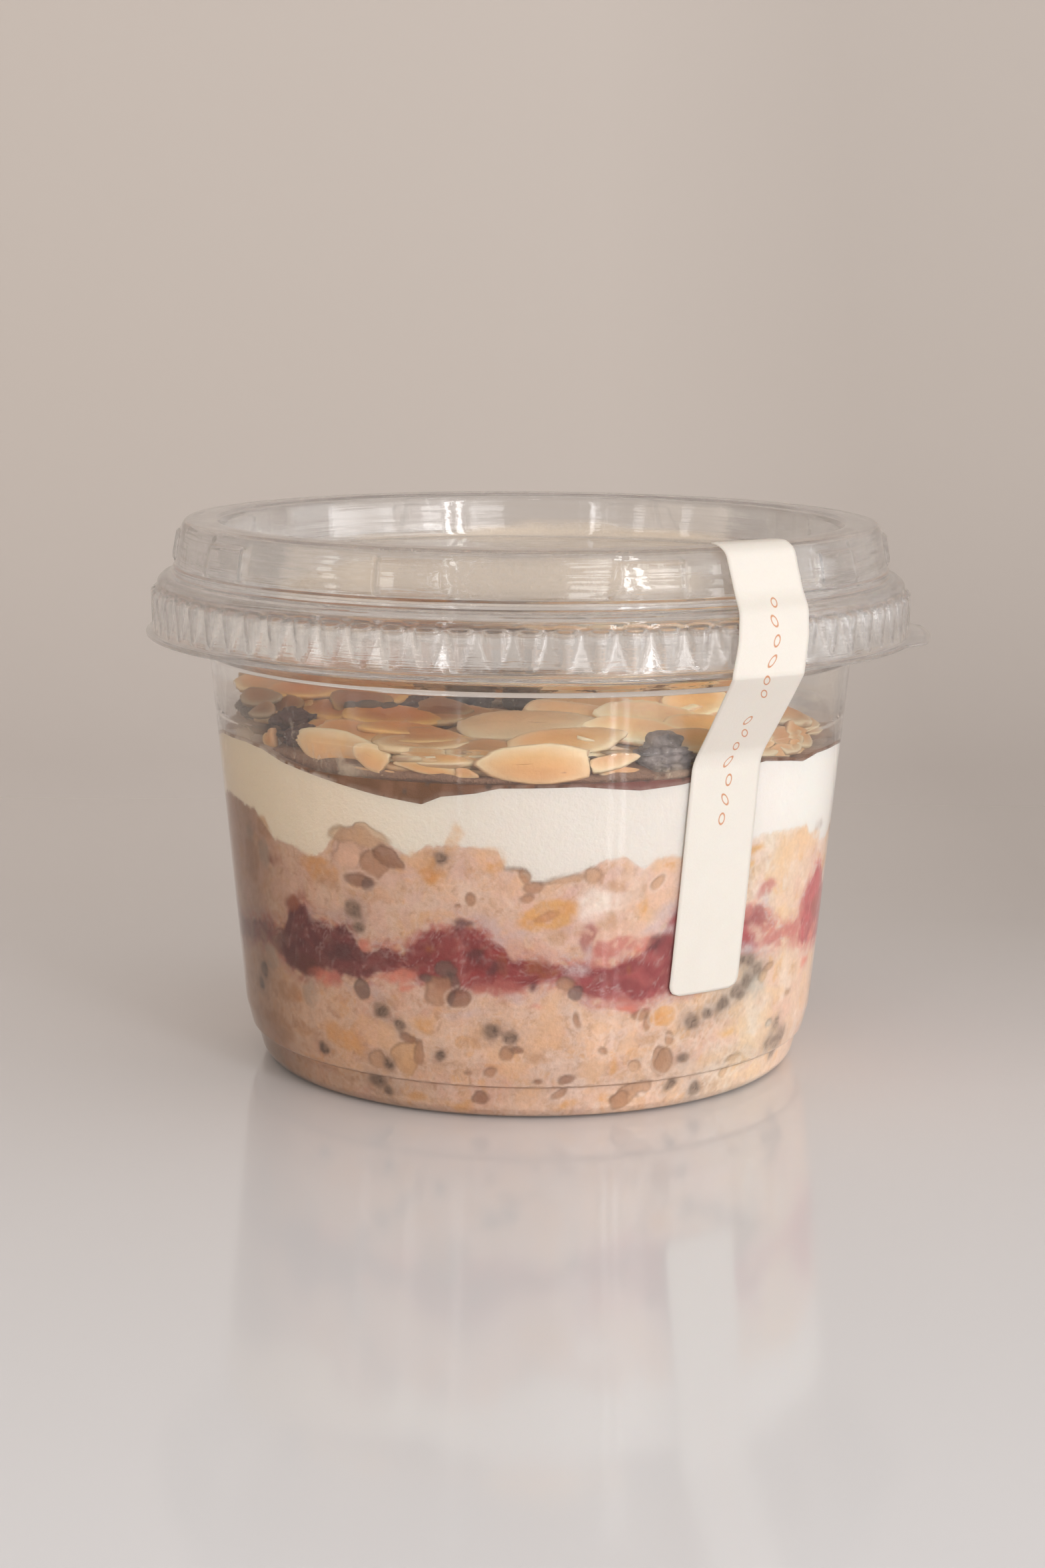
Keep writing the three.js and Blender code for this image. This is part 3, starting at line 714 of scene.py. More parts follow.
CREAM = tone(229, 197, 174)
PINK_CREAM = tone(225, 184, 165)
PALE_CREAM = tone(236, 213, 198)
BLUSH_CREAM = tone(232, 200, 190)
YOGHURT = tone(240, 231, 220)
AMBER = tone(228, 178, 124)
DEEP_AMBER = tone(222, 164, 104)
PALE_AMBER = tone(234, 196, 162)
PEACH = tone(234, 198, 176)
TAN = tone(207, 168, 136)
BROWN = tone(184, 142, 112)
DARK_BROWN = tone(156, 114, 90)
SEED = tone(152, 129, 113)
SEED_CRACK = tone(96, 78, 68)
SEED_FAR = tone(184, 156, 138)
SMOKE = tone(128, 104, 96)
LILAC = tone(218, 196, 194)
MILK = tone(242, 230, 216)
HAZE = tone(200, 184, 172)
JAM_LEFT = tone(117, 54, 58)
JAM_MID = tone(153, 61, 62)
JAM_RIGHT = tone(188, 89, 91)
JAM_DARK = tone(104, 60, 62)
JAM_PINK = tone(205, 130, 120)
CORAL = tone(226, 140, 120)
RUST = tone(164, 94, 62)
FILM_BROWN = tone(104, 70, 50)
FILM_TAN = tone(124, 86, 58)
FILM_PURPLE = tone(134, 88, 82)

# What shows through the wall, each as azimuth, height, half width, half height, turn and tone.
# Soft things come first and crisp ones over them.

SOFT_PATCHES = [
    (-40.5, 31, 3.2, 1.5, -8, AMBER), (-39, 29.4, 1.6, 0.8, 0, TAN), (-56, 34.4, 1.7, 1.4, -20, TAN),
    (-63, 29.5, 2.4, 3.0, 0, TAN), (-57, 31, 1.6, 1.6, 0, HAZE), (-62.5, 33.3, 1.0, 1.2, 0, HAZE),
    (-53.7, 30.7, 1.1, 0.5, 0, RUST), (-48.5, 13.3, 1.7, 0.9, 15, DEEP_AMBER),
    (-52.5, 13.4, 3.0, 1.2, 0, TAN), (-38, 9.2, 3.1, 1.5, -18, AMBER), (-35, 8.2, 1.4, 0.6, -30, AMBER),
    (-29.5, 10.6, 3.4, 1.9, -22, PALE_AMBER), (-58.5, 7.8, 4.2, 1.9, -5, TAN),
    (-47.5, 9.0, 2.0, 0.6, 0, TAN), (-22, 2.3, 1.7, 0.7, 0, AMBER), (-39, 11.9, 0.9, 0.4, -20, BROWN),
    (-17.6, 32.3, 2.0, 1.5, -35, AMBER), (-17.3, 31.8, 1.0, 0.8, 0, DEEP_AMBER),
    (-19.6, 33.6, 1.3, 1.1, 0, PALE_AMBER), (-13, 36.6, 0.8, 1.7, -20, AMBER),
    (-6.8, 34.0, 2.0, 1.6, 10, PALE_AMBER), (-6.2, 33.4, 1.0, 0.9, 0, AMBER),
    (-9.5, 35.3, 1.0, 0.6, 0, PALE_AMBER), (24.6, 33.0, 2.0, 1.3, 0, PALE_AMBER),
    (25.3, 32.9, 0.5, 0.4, 0, DEEP_AMBER), (22.3, 28.0, 2.4, 1.8, 15, PALE_AMBER),
    (20.5, 28.2, 0.9, 0.8, 0, AMBER), (16, 24.2, 4.4, 1.9, 16, PEACH), (24, 30, 2.0, 2.4, 0, PEACH),
    (-1.6, 30.7, 1.5, 1.5, 0, PALE_AMBER), (3.6, 30.5, 0.9, 0.9, 0, PALE_AMBER),
    (15.0, 31.0, 1.3, 0.8, 0, TAN), (14.2, 26.2, 1.3, 1.0, 0, TAN), (5.3, 24.6, 1.2, 0.9, 0, TAN),
    (3, 22.6, 2.2, 1.0, -38, PINK_CREAM), (-2.4, 23.2, 1.2, 1.6, 15, PINK_CREAM),
    (4, 13, 1.8, 2.8, 8, PALE_AMBER), (12.4, 7.1, 1.7, 1.4, 0, PALE_AMBER),
    (16.3, 7.2, 0.6, 1.1, 0, AMBER), (26, 13.5, 1.9, 1.6, 0, AMBER),
    (25.2, 13.2, 0.8, 0.9, 0, DEEP_AMBER), (-19.5, 12.5, 1.1, 0.9, 0, AMBER),
    (-6, 9.3, 1.4, 1.0, 0, PALE_AMBER), (-3, 7.2, 1.7, 1.1, 15, PALE_AMBER),
    (-9, 12, 1.5, 0.8, 0, PALE_AMBER), (0.5, 3.4, 2.0, 1.3, 20, PALE_AMBER),
    (8, 2.0, 1.6, 0.6, 12, AMBER), (-13.5, 1.7, 2.0, 0.6, -5, AMBER), (15, 2.9, 0.75, 0.45, -10, AMBER),
    (23, 10.6, 1.4, 0.5, 8, TAN), (1.5, 8.7, 1.1, 0.7, 10, TAN), (3.6, 8.7, 1.2, 0.25, 5, TAN),
    (-10, 10.4, 1.3, 0.8, -12, TAN), (44.4, 33.7, 1.3, 0.5, 0, DEEP_AMBER),
    (43.5, 31.8, 0.7, 0.6, 0, AMBER), (57, 32.4, 5.0, 1.9, 8, PALE_AMBER),
    (61, 33.4, 1.2, 1.4, 0, PALE_AMBER), (52, 29.5, 2.4, 1.0, 0, PALE_AMBER),
    (54.6, 24.8, 1.0, 0.8, 0, PALE_AMBER), (66, 32.5, 2.1, 1.2, 0, PALE_AMBER),
    (68.3, 34, 1.5, 0.8, 0, HAZE), (49, 28.1, 1.8, 0.8, 20, JAM_PINK),
    (43, 9.8, 3.0, 1.0, 0, PALE_AMBER), (41.8, 9.7, 1.4, 0.5, 0, AMBER),
    (45.5, 11.0, 0.8, 0.8, 0, PALE_AMBER), (55, 13.5, 3.3, 0.6, -12, PALE_AMBER),
    (37.5, 7, 2.0, 0.7, 5, PALE_AMBER), (61, 12.4, 1.0, 0.8, 0, BROWN), (63, 15.5, 1.2, 0.8, 0, TAN),
    (69, 15.8, 1.5, 0.6, 0, CORAL), (53.6, 26, 2.0, 0.6, 0, PEACH), (-45.6, 14.0, 1.6, 2.0, 0, HAZE),
    (-58.2, 17.3, 1.6, 1.9, 0, HAZE),
]
MILKY_PATCHES = [
    (12.2, 28.8, 2.4, 2.0, 0, tone(250, 240, 230)), (12.0, 29.2, 1.2, 1.1, 0, MILK),
    (18, 29.5, 1.2, 0.7, 0, PALE_CREAM), (-7.6, 26.8, 1.7, 0.5, -32, LILAC),
    (-6.2, 25.6, 1.3, 0.5, -42, LILAC), (-4.8, 24.2, 1.1, 0.5, -20, LILAC),
    (-1.5, 24.6, 1.2, 0.8, 0, LILAC), (23.3, 25.5, 2.2, 0.6, 18, LILAC),
    (26.2, 24.4, 0.9, 0.6, 0, LILAC), (25.2, 27.2, 1.5, 0.9, 25, LILAC),
    (10.4, 22.0, 0.5, 1.1, 5, LILAC), (11, 23.3, 0.5, 0.3, 30, LILAC), (-2, 16.6, 1.1, 0.5, -25, LILAC),
    (2.9, 17.4, 1.4, 0.25, 55, LILAC), (8.6, 19.9, 1.3, 0.8, 0, LILAC), (-29, 15.7, 1.2, 0.6, 0, LILAC),
    (47.8, 15.6, 2.4, 1.4, -30, HAZE), (45, 20.6, 1.5, 0.7, 0, LILAC), (-11, 14.3, 2.6, 0.6, 10, LILAC),
    (-38.5, 25.4, 1.8, 0.35, 0, LILAC), (-43.5, 25.0, 0.6, 1.1, 0, LILAC),
    (49.2, 26.6, 0.7, 0.8, 0, LILAC),
]
JAM_MARKS = [
    (-46, 17.6, 3.4, 1.5, 0, tone(116, 66, 54)), (-48.5, 25.7, 1.5, 1.0, 0, RUST),
    (-31, 21.8, 0.9, 0.9, 0, CORAL), (-24.5, 18.6, 2.6, 0.9, 8, CORAL),
    (-22.8, 17.2, 0.8, 0.4, 0, CORAL), (-41, 16.6, 2.6, 0.9, 0, CORAL),
    (-38.5, 16.7, 1.0, 0.9, 0, JAM_PINK), (-18.2, 22.4, 0.7, 0.5, 0, RUST),
    (-5, 20.8, 0.9, 1.5, 0, RUST), (-8, 22.8, 0.5, 0.4, 0, RUST), (1.7, 20.8, 1.4, 0.9, 0, RUST),
    (3.6, 19.8, 1.2, 0.6, 0, RUST), (0.9, 18.3, 0.7, 0.5, 0, JAM_DARK), (-9, 22, 1.3, 1.0, 0, JAM_DARK),
    (-6, 20.4, 1.3, 0.9, 0, JAM_DARK), (-11.6, 25.8, 1.2, 0.7, 0, JAM_DARK),
    (-15, 25.4, 1.2, 0.5, 0, JAM_PINK), (-6, 17.9, 3.0, 1.0, 0, tone(186, 108, 100)),
    (11, 24.4, 1.2, 1.8, -15, tone(178, 112, 104)), (21.6, 23.2, 1.4, 0.8, 10, tone(222, 122, 106)),
    (15.5, 22.8, 3.0, 1.2, 12, JAM_PINK), (13, 21.8, 1.9, 0.9, 0, JAM_PINK),
    (17.5, 15.3, 3.4, 0.8, -5, JAM_PINK), (18.7, 14.8, 0.9, 0.4, 0, CORAL),
    (1.3, 15.4, 0.5, 0.2, 0, CORAL), (46.4, 24.4, 2.1, 1.4, 0, tone(178, 108, 102)),
    (44, 25.4, 1.0, 1.3, 0, JAM_PINK), (47.2, 22.0, 2.0, 0.7, -35, PINK_CREAM),
    (55, 21.1, 4.5, 0.6, 0, JAM_PINK), (72.5, 22.6, 2.2, 1.6, -15, tone(176, 98, 88)),
    (73, 19.3, 2.2, 1.0, 10, CORAL), (-36, 20.5, 3.5, 1.1, 0, JAM_DARK),
    (23.6, 23, 1.0, 1.2, 0, JAM_DARK), (18.4, 20.3, 0.35, 0.55, 0, RUST),
]
POCKETS = [
    (-31.3, 36.0, 4.4, 1.3, 0, tone(212, 178, 146)), (-33.6, 33.6, 2.5, 1.8, 12, PEACH),
    (-28.4, 32.8, 2.0, 1.7, -10, BROWN), (-25.3, 33.7, 2.1, 1.4, -18, DARK_BROWN),
    (-31.4, 30.4, 2.2, 0.7, 0, DARK_BROWN), (-29.8, 29.9, 0.9, 0.8, 0, SMOKE),
    (-10.1, 29.2, 0.68, 0.82, 15, BROWN), (-12.5, 28.2, 0.35, 0.25, 0, BROWN),
    (-2.2, 33.0, 1.2, 0.35, -10, BROWN), (-0.9, 32.1, 0.7, 1.0, 25, BROWN),
    (1.0, 30.7, 1.3, 0.75, 10, BROWN), (-0.4, 29.4, 0.9, 0.45, 20, BROWN),
    (6.2, 31.8, 2.6, 0.5, 10, TAN), (11.0, 32.3, 1.05, 1.05, 0, TAN), (23.3, 30.9, 1.1, 0.65, 38, TAN),
    (-4.0, 9.3, 0.95, 0.9, 20, BROWN), (-1.9, 9.8, 0.8, 0.45, -10, DARK_BROWN),
    (-7.0, 6.8, 0.9, 0.62, 15, BROWN), (-11.2, 6.4, 0.42, 0.25, 0, BROWN),
    (2.1, 5.5, 0.62, 0.35, 0, DARK_BROWN), (7.6, 5.8, 1.2, 0.6, 4, DARK_BROWN),
    (14.1, 9.4, 0.58, 0.42, -30, BROWN), (20.4, 7.2, 0.9, 0.9, 0, TAN),
    (9.1, 13.6, 0.42, 1.15, 14, BROWN), (21.2, 14.0, 1.2, 0.65, 0, BROWN),
    (22.7, 12.7, 0.48, 1.1, 0, BROWN), (25.6, 7.6, 1.3, 2.0, 8, BROWN),
    (26.9, 7.2, 1.3, 2.0, -12, BROWN), (27.5, 10.4, 0.7, 1.0, 8, BROWN),
    (-9.3, 3.0, 1.4, 1.0, 0, DARK_BROWN), (6.4, 3.8, 1.2, 0.55, 32, BROWN),
    (21.0, 3.3, 3.0, 1.3, 18, tone(190, 150, 120)), (18.6, 2.4, 1.5, 1.1, 30, BROWN),
    (23.2, 2.9, 0.6, 0.4, 0, PALE_CREAM), (44.2, 6.1, 1.4, 0.5, 8, TAN), (43.2, 4.0, 0.8, 0.8, 0, TAN),
    (-16.4, 17.0, 2.1, 1.7, 30, tone(190, 148, 118)), (-12.4, 16.3, 1.7, 1.1, 20, DARK_BROWN),
    (-15.0, 19.9, 1.3, 1.2, 0, SMOKE), (-13.4, 18.4, 1.3, 0.6, -55, SMOKE),
    (-18.7, 18.5, 0.9, 0.5, 0, SMOKE), (-14.0, 16.2, 0.35, 1.2, -20, SMOKE),
    (-23.3, 7.8, 1.9, 2.3, 0, tone(214, 172, 128)), (-22.9, 10.5, 1.2, 0.6, -25, DARK_BROWN),
    (-20.8, 8.4, 0.7, 1.7, 0, BROWN), (-30, 7.0, 1.6, 1.2, 0, TAN), (-32.2, 16.2, 1.2, 1.4, 0, SMOKE),
    (52.0, 17.1, 1.3, 0.6, 10, BROWN), (50.2, 16.2, 1.0, 0.8, 0, TAN), (8.6, 17.2, 0.9, 0.9, 0, SMOKE),
    (6.8, 18.5, 1.2, 0.8, 0, BROWN), (54.5, 9.3, 0.8, 0.5, 0, HAZE),
]
OUTLINES = [
    (9.1, 13.6, 0.8, 1.5, 14), (26.0, 13.4, 2.1, 1.7, 0), (27.3, 8.2, 2.5, 2.9, 8),
    (-12.6, 16.3, 2.0, 1.5, 15), (-31.6, 30.3, 2.9, 1.2, 0), (23.3, 30.9, 1.3, 0.9, 38),
    (-32.6, 25.4, 1.9, 2.3, 10), (22.3, 13.2, 1.4, 1.9, 0), (-28.3, 13.6, 1.9, 1.3, 0),
    (-45.5, 14.0, 1.9, 2.3, 0),
]
SEEDS = [
    (-15.5, 34.2), (-33.3, 26.4), (-32.2, 24.2), (-6.9, 12.2), (-3.5, 11.4), (-16.3, 8.6),
    (-28.4, 13.6), (-24.6, 12.2), (-43.2, 7.1), (-31.2, 3.9), (-28.7, 2.8), (-27.5, 6.8), (32.2, 12.2),
    (35.8, 12.9), (39.2, 13.8), (42.4, 14.9), (44.2, 14.3), (45.6, 16.1), (46.2, 18.9), (43.9, 19.1),
    (48.2, 17.5), (57.3, 8.6), (60.8, 6.9), (58.5, 6.2), (30.8, 7.5), (36.2, 2.6), (29.5, 3.8),
    (60.5, 4.1), (-62, 15), (-64, 12.6), (55.5, 6.3),
]


class Canvas:
    """Colours and dents of the food against the wall, laid on coat by coat."""

    def __init__(self, azimuth, height):
        self.azimuth, self.height = np.broadcast_arrays(azimuth, height)
        self.places = polar(self.azimuth, outer_radius(self.height), self.height)
        self.drift = self.grain(1.7, 11) - 0.5, self.grain(1.7, 12) - 0.5
        bent = [self.grain(2.6, seed, 3) - 0.5 for seed in (7, 8, 9)]
        self.places = self.places + 2.4 * np.stack(bent, axis=-1)
        self.mottle = self.grain(0.8, 6, 3)
        self.coat = np.zeros(self.places.shape)
        self.dent = np.zeros(self.height.shape)

    def grain(self, size, seed, octaves=2, flat=1.0):
        """Noise from 0 to 1 over the wall, drawn out sideways where flat is over 1."""
        return cloud(self.places * np.array([1, 1, flat]), size, seed, octaves)

    def veins(self, size, seed, width, flat=1.0):
        """Thin wandering lines where a noise crosses its middle."""
        return np.exp(-(((self.grain(size, seed, 3, flat) - 0.5) / width) ** 2))

    def cover(self, colour, share):
        """Lays a colour over all of it, by a share for each point."""
        self.coat += (colour - self.coat) * share[..., None]

    def near(self, azimuth, height, reach):
        """The points within reach of a place, and the turn of every point from it."""
        turned = apart(self.azimuth, azimuth)
        wide = math.degrees(reach / GRID_R)
        return (np.abs(turned) < wide) & (np.abs(self.height - height) < reach), turned

    def spot(self, azimuth, height, half_width, half_height, turn, colour, edge, ragged,
             strength=1.0, rim=0.0, dent=0.0, only_rim=False):
        """An oval patch. Its edge wanders by the drift, and is as soft as asked; a rim of painted
        shade darkens the line just inside it, most at its upper left, as on the far side of a hollow
        lit from the right."""
        least = min(half_width, half_height)
        near, turned = self.near(azimuth, height, 1.6 * max(half_width, half_height) + ragged + edge)
        if not near.any():
            return
        across = np.radians(turned[near]) * GRID_R + ragged * 2 * self.drift[0][near]
        up = self.height[near] - height + ragged * 2 * self.drift[1][near]
        c, s = math.cos(math.radians(turn)), math.sin(math.radians(turn))
        far = np.hypot((across * c + up * s) / half_width, (up * c - across * s) / half_height)
        soft = edge / least
        share = 1 - smooth((far - 1 + soft) / (2 * soft))
        if edge > 0.2:
            share = share * (0.45 + 0.9 * smooth((self.mottle[near] - 0.25) / 0.5)).clip(0, 1)
        line = np.exp(-(((far - 0.94) * least / 0.17) ** 2))
        if only_rim:
            share = line
        # Painted shade: the rim is darkest at its upper left and faintest at its lower right.
        shaded = 0.35 + 0.65 * smooth(0.5 + 0.6 * (up - 0.6 * across) / (least + 0.2))
        coat = self.coat[near]
        coat += (colour - coat) * (share * strength)[:, None]
        coat *= 1 - (rim * line * shaded)[:, None]
        self.coat[near] = coat
        self.dent[near] = np.maximum(self.dent[near], dent * share)

    def crinkle(self, azimuth, height, size, colour, cracks):
        """A seed: a dull oval, darker and lighter in lobes, crossed by dark crinkled lines."""
        near, turned = self.near(azimuth, height, 2 * size)
        if not near.any():
            return
        across = np.radians(turned[near]) * GRID_R + 1.1 * self.drift[0][near]
        up = self.height[near] - height + 1.1 * self.drift[1][near]
        far = np.hypot(across / size, up / (0.85 * size))
        share = 1 - smooth((far - 0.45) / 0.75)
        places = self.places[near]
        lobes = cloud(places, 0.8, 51, 2)
        lines = np.exp(-(((cloud(places, 1.0, 52, 2) - 0.5) / 0.05) ** 2))
        lines = lines * (1 - smooth((far - 0.45) / 0.35))
        coat = self.coat[near]
        coat += (colour - coat) * (0.85 * share)[:, None]
        coat *= 1 - (share * (0.24 * smooth((lobes - 0.4) / 0.25)))[:, None]
        coat += (cracks - coat) * (0.7 * lines * share)[:, None]
        self.coat[near] = coat


def streaks(rng, middle, spread, count, long, tall):
    """Seeded oval patches round the back of the cup, between two heights."""
    turn = rng.uniform(76, 284, count)
    height = middle + rng.uniform(-spread, spread, count)
    long = rng.uniform(0.6, 1.3, count) * long
    tall = rng.uniform(0.6, 1.3, count) * tall
    return zip(turn, height, long, tall, rng.uniform(-25, 25, count))


def pressed_flakes(canvas):
    """Soft oat flakes pressed on the wall: seeded ovals of slightly different tones, some with
    a pale outline."""
    rng = np.random.default_rng(3)
    tones = [PALE_CREAM, PINK_CREAM, PALE_AMBER, CREAM, PEACH, AMBER, TAN]
    chances = [0.2, 0.2, 0.2, 0.12, 0.16, 0.07, 0.05]
    for _ in range(620):
        azimuth, height = rng.uniform(-180, 180), rng.uniform(0.5, 37)
        long = rng.uniform(1.0, 2.8)
        tall = long * rng.uniform(0.45, 0.85)
        turn = rng.normal(0, 35)
        colour = tones[rng.choice(7, p=chances)] * rng.uniform(0.94, 1.05)
        canvas.spot(azimuth, height, long, tall, turn, colour, edge=0.28, ragged=0.7,
                    strength=rng.uniform(0.25, 0.6))
        if rng.random() < 0.4:
            canvas.spot(azimuth, height, long, tall, turn, PALE_CREAM, edge=0.2, ragged=0.7,
                        strength=rng.uniform(0.2, 0.5), only_rim=True)


def oat_ground(canvas, turn, broad):
    """Oats in cream: broad and fine patches, pressed flakes, pale and tan veins, calmer towards
    the right."""
    canvas.cover(CREAM, np.ones(canvas.height.shape))
    canvas.cover(PINK_CREAM, smooth((broad - 0.46) / 0.2) * 0.8)
    canvas.cover(PALE_CREAM, smooth((canvas.grain(3.4, 24, 3) - 0.5) / 0.2) * 0.6)
    canvas.cover(PALE_AMBER, smooth((canvas.grain(2.6, 25, 3) - 0.53) / 0.14) * 0.65)
    canvas.cover(AMBER, smooth((canvas.grain(1.8, 26, 3) - 0.62) / 0.1) * 0.5)
    plain = canvas.coat.copy()
    pressed_flakes(canvas)
    canvas.cover(TAN, smooth((canvas.grain(1.1, 27, 3) - 0.57) / 0.1) * 0.42)
    canvas.cover(BROWN, smooth((canvas.grain(0.9, 35, 3) - 0.64) / 0.07) * 0.35)
    canvas.cover(PALE_CREAM, canvas.veins(2.6, 20, 0.03) * 0.5)
    canvas.cover(PALE_CREAM, canvas.veins(1.3, 36, 0.035) * 0.35)
    canvas.cover(TAN, canvas.veins(3.0, 37, 0.012) * 0.5 * smooth((canvas.grain(4.0, 38) - 0.4) / 0.2))
    upper = smooth((canvas.height - 22) / 3) * smooth((canvas.grain(1.7, 45, 3) - 0.46) / 0.14)
    canvas.cover(BLUSH_CREAM, upper * 0.5)
    canvas.coat *= (0.92 + 0.16 * canvas.grain(0.7, 19, 3))[..., None]
    calm_side = smooth((turn - 42) / 12) * (turn < 110)
    canvas.coat += (plain - canvas.coat) * (0.62 * calm_side)[..., None]


def jam_band(canvas, turn, low, high, broad):
    """Jam between two edges: a pink stain round it, purple at the left to red at the right,
    fruit and pulp in it, and milky veins along both edges."""
    inside = np.minimum(canvas.height - low, high - canvas.height)
    blush = canvas.grain(1.6, 28, 3, 1.6)
    canvas.cover(JAM_PINK, smooth((inside + 2.2) / 2.4) * smooth((blush - 0.3) / 0.35) * 0.75)
    warm = smooth((canvas.grain(1.1, 18) - 0.58) / 0.12)
    canvas.cover(CORAL, smooth((inside + 1.4) / 1.6) * warm * 0.5)
    across = np.clip((turn + 40) / 100, 0, 1)[..., None]
    jam = JAM_LEFT * (1 - across) + JAM_RIGHT * across
    middle = np.exp(-(((turn[..., None] + 8) / 14) ** 2))
    jam = jam * (1 - middle) + JAM_MID * middle
    faint = smooth((np.abs(turn - 56) - 6) / 4) * 0.75 + 0.25
    faint = faint * (1 - 0.5 * smooth((-turn - 51) / 4) * (turn > -90))
    stain = smooth((canvas.grain(1.5, 39, 3, 1.6) - 0.42) / 0.2)
    canvas.cover(jam * 1.35, smooth((inside + 2.4) / 2.6) * stain * faint * 0.5)
    canvas.cover(jam, smooth((inside + 0.35) / 0.9) * faint * (0.78 + 0.22 * canvas.grain(0.7, 17, 2)))
    deep = smooth((inside + 0.1) / 1.0) * faint
    fruit = canvas.grain(1.9, 29, 3, 1.7)
    pulp = canvas.grain(0.9, 16, 3, 1.5)
    calm = 0.5 + 0.5 * np.exp(-(((turn + 12) / 12) ** 2))
    canvas.cover(jam * 0.78, smooth((fruit - 0.46) / 0.2) * deep * 0.7)
    canvas.cover(jam * 1.28, smooth((0.48 - fruit) / 0.2) * deep * 0.5)
    canvas.cover(JAM_PINK * 0.85, smooth((pulp - 0.58) / 0.16) * deep * 0.38 * calm)
    canvas.cover(jam * 0.7, smooth((0.42 - pulp) / 0.14) * deep * 0.35 * calm)
    canvas.cover(LILAC, canvas.veins(3.4, 15, 0.014, 2.2) * deep * 0.3)
    band = np.exp(-(((canvas.height - high - 0.6) / 1.5) ** 2))
    band = band + 0.7 * np.exp(-(((canvas.height - low + 0.8) / 1.2) ** 2))
    canvas.cover(LILAC, canvas.veins(1.5, 14, 0.06, 2.2) * band * 0.65 * smooth((broad - 0.3) / 0.2))


def soft_marks(canvas, rng):
    """Soft flakes, stains in the jam, milky wisps, the large amber flake in the middle, and
    seeded marks like them round the back."""
    for *place, colour in SOFT_PATCHES:
        canvas.spot(*place, colour, edge=0.45, ragged=0.75, strength=0.85)
    for *place, colour in JAM_MARKS:
        canvas.spot(*place, colour, edge=0.4, ragged=0.8, strength=0.8)
    for *place, colour in MILKY_PATCHES:
        canvas.spot(*place, colour, edge=0.35 + 0.3 * place[3], ragged=0.9, strength=0.75)

    canvas.spot(3.6, 27.3, 3.8, 1.85, 13, tone(229, 180, 122), edge=0.4, ragged=0.5)
    canvas.spot(7.2, 28.2, 1.2, 0.8, 20, DEEP_AMBER, edge=0.5, ragged=0.3, strength=0.5)
    canvas.spot(0.0, 26.3, 1.0, 0.6, 0, DEEP_AMBER, edge=0.5, ragged=0.3, strength=0.4)
    # Its rim is darkened by painted shade.
    canvas.spot(3.2, 27.1, 1.5, 0.55, 20, tone(206, 152, 108), edge=0.2, ragged=0.2,
                strength=0.7, rim=0.15)

    for place in streaks(rng, 20, 18, 46, 2.0, 1.2):
        canvas.spot(*place, AMBER, edge=0.45, ragged=0.75, strength=0.6 * float(place[1] < 33))
    # Their rims are darkened by painted shade.
    for place in streaks(rng, 19, 17, 40, 1.1, 0.8):
        canvas.spot(*place, BROWN, edge=0.12, ragged=0.3, strength=0.85 * float(place[1] < 32),
                    rim=0.15)
    for place in streaks(rng, 25, 6, 14, 1.2, 0.8):
        canvas.spot(*place, MILK, edge=0.35, ragged=0.9, strength=0.6)


def crisp_marks(canvas, rng):
    """Hollows with a rim of painted shade and a lighter patch of painted light low to their right,
    pale outlines of flakes, and dark seeds.
    """
    for at, up, wide, tall, tilt, colour in POCKETS:
        ragged = 0.42 * math.sqrt(wide * tall)
        # A rim of painted shade round each hollow.
        canvas.spot(at, up, wide, tall, tilt, colour, edge=0.18, ragged=ragged, strength=0.72,
                    rim=0.26, dent=0.12)
        # A lighter patch low and to the right inside each hollow: painted light.
        canvas.spot(at + 0.4, up - 0.3 * tall, 0.6 * wide, 0.5 * tall, tilt, colour * 1.2,
                    edge=0.35 * tall, ragged=ragged, strength=0.45)
    for place in OUTLINES:
        canvas.spot(*place, PALE_CREAM, edge=0.1, ragged=0.35, strength=0.5, only_rim=True)

    hidden = [(place[0], place[1]) for place in streaks(rng, 10, 8, 26, 1, 1)]
    for number, (at, up) in enumerate([*SEEDS, *hidden]):
        size = 1.22 + 0.22 * math.sin(number * 2.3)
        away = float(smooth((at - 38) / 14)) * (at < 90)
        canvas.spot(at, up, 1.5 * size, 1.35 * size, 0, SMOKE, edge=0.8, ragged=0.7, strength=0.24)
        colour = SEED + (SEED_FAR - SEED) * away
        canvas.crinkle(at, up, size * (1 + 0.12 * away), colour, SEED_CRACK * (1 + 1.4 * away))


def shade_round(turn, table):
    """A tint for each turn from a table of azimuth, red, green and blue."""
    at, *tint = np.array(table).T
    return np.stack([np.interp(turn, at, channel) for channel in tint], axis=-1)


# Painted light and shade on the food and on the yoghurt round the wall, darker and warmer at the left
# and lighter at the right: azimuth and tint.
FOOD_LIGHT_AND_SHADE = [
    (-115, 1, 1, 1), (-75, 0.44, 0.35, 0.28), (-63, 0.44, 0.35, 0.28), (-48, 0.74, 0.63, 0.54),
    (-34, 0.79, 0.71, 0.65), (-20, 0.84, 0.78, 0.73), (-5, 0.9, 0.84, 0.8), (8, 0.88, 0.85, 0.84),
    (20, 0.92, 0.9, 0.88), (34, 0.94, 0.97, 0.97), (48, 0.96, 1.08, 1.08), (60, 1.04, 1.1, 1.09),
    (72, 1.12, 1.16, 1.17), (115, 1, 1, 1),
]
YOGHURT_LIGHT_AND_SHADE = [
    (-115, 1, 1, 1), (-75, 0.9, 0.82, 0.69), (-58, 0.92, 0.86, 0.74), (-35, 0.94, 0.88, 0.79),
    (-20, 0.93, 0.92, 0.88), (-5, 0.94, 0.94, 0.94), (8, 0.91, 0.92, 0.94), (20, 0.9, 0.915, 0.94),
    (48, 0.96, 0.985, 1.03), (60, 1.0, 1.06, 1.11), (75, 1.07, 1.1, 1.15), (115, 1, 1, 1),
]


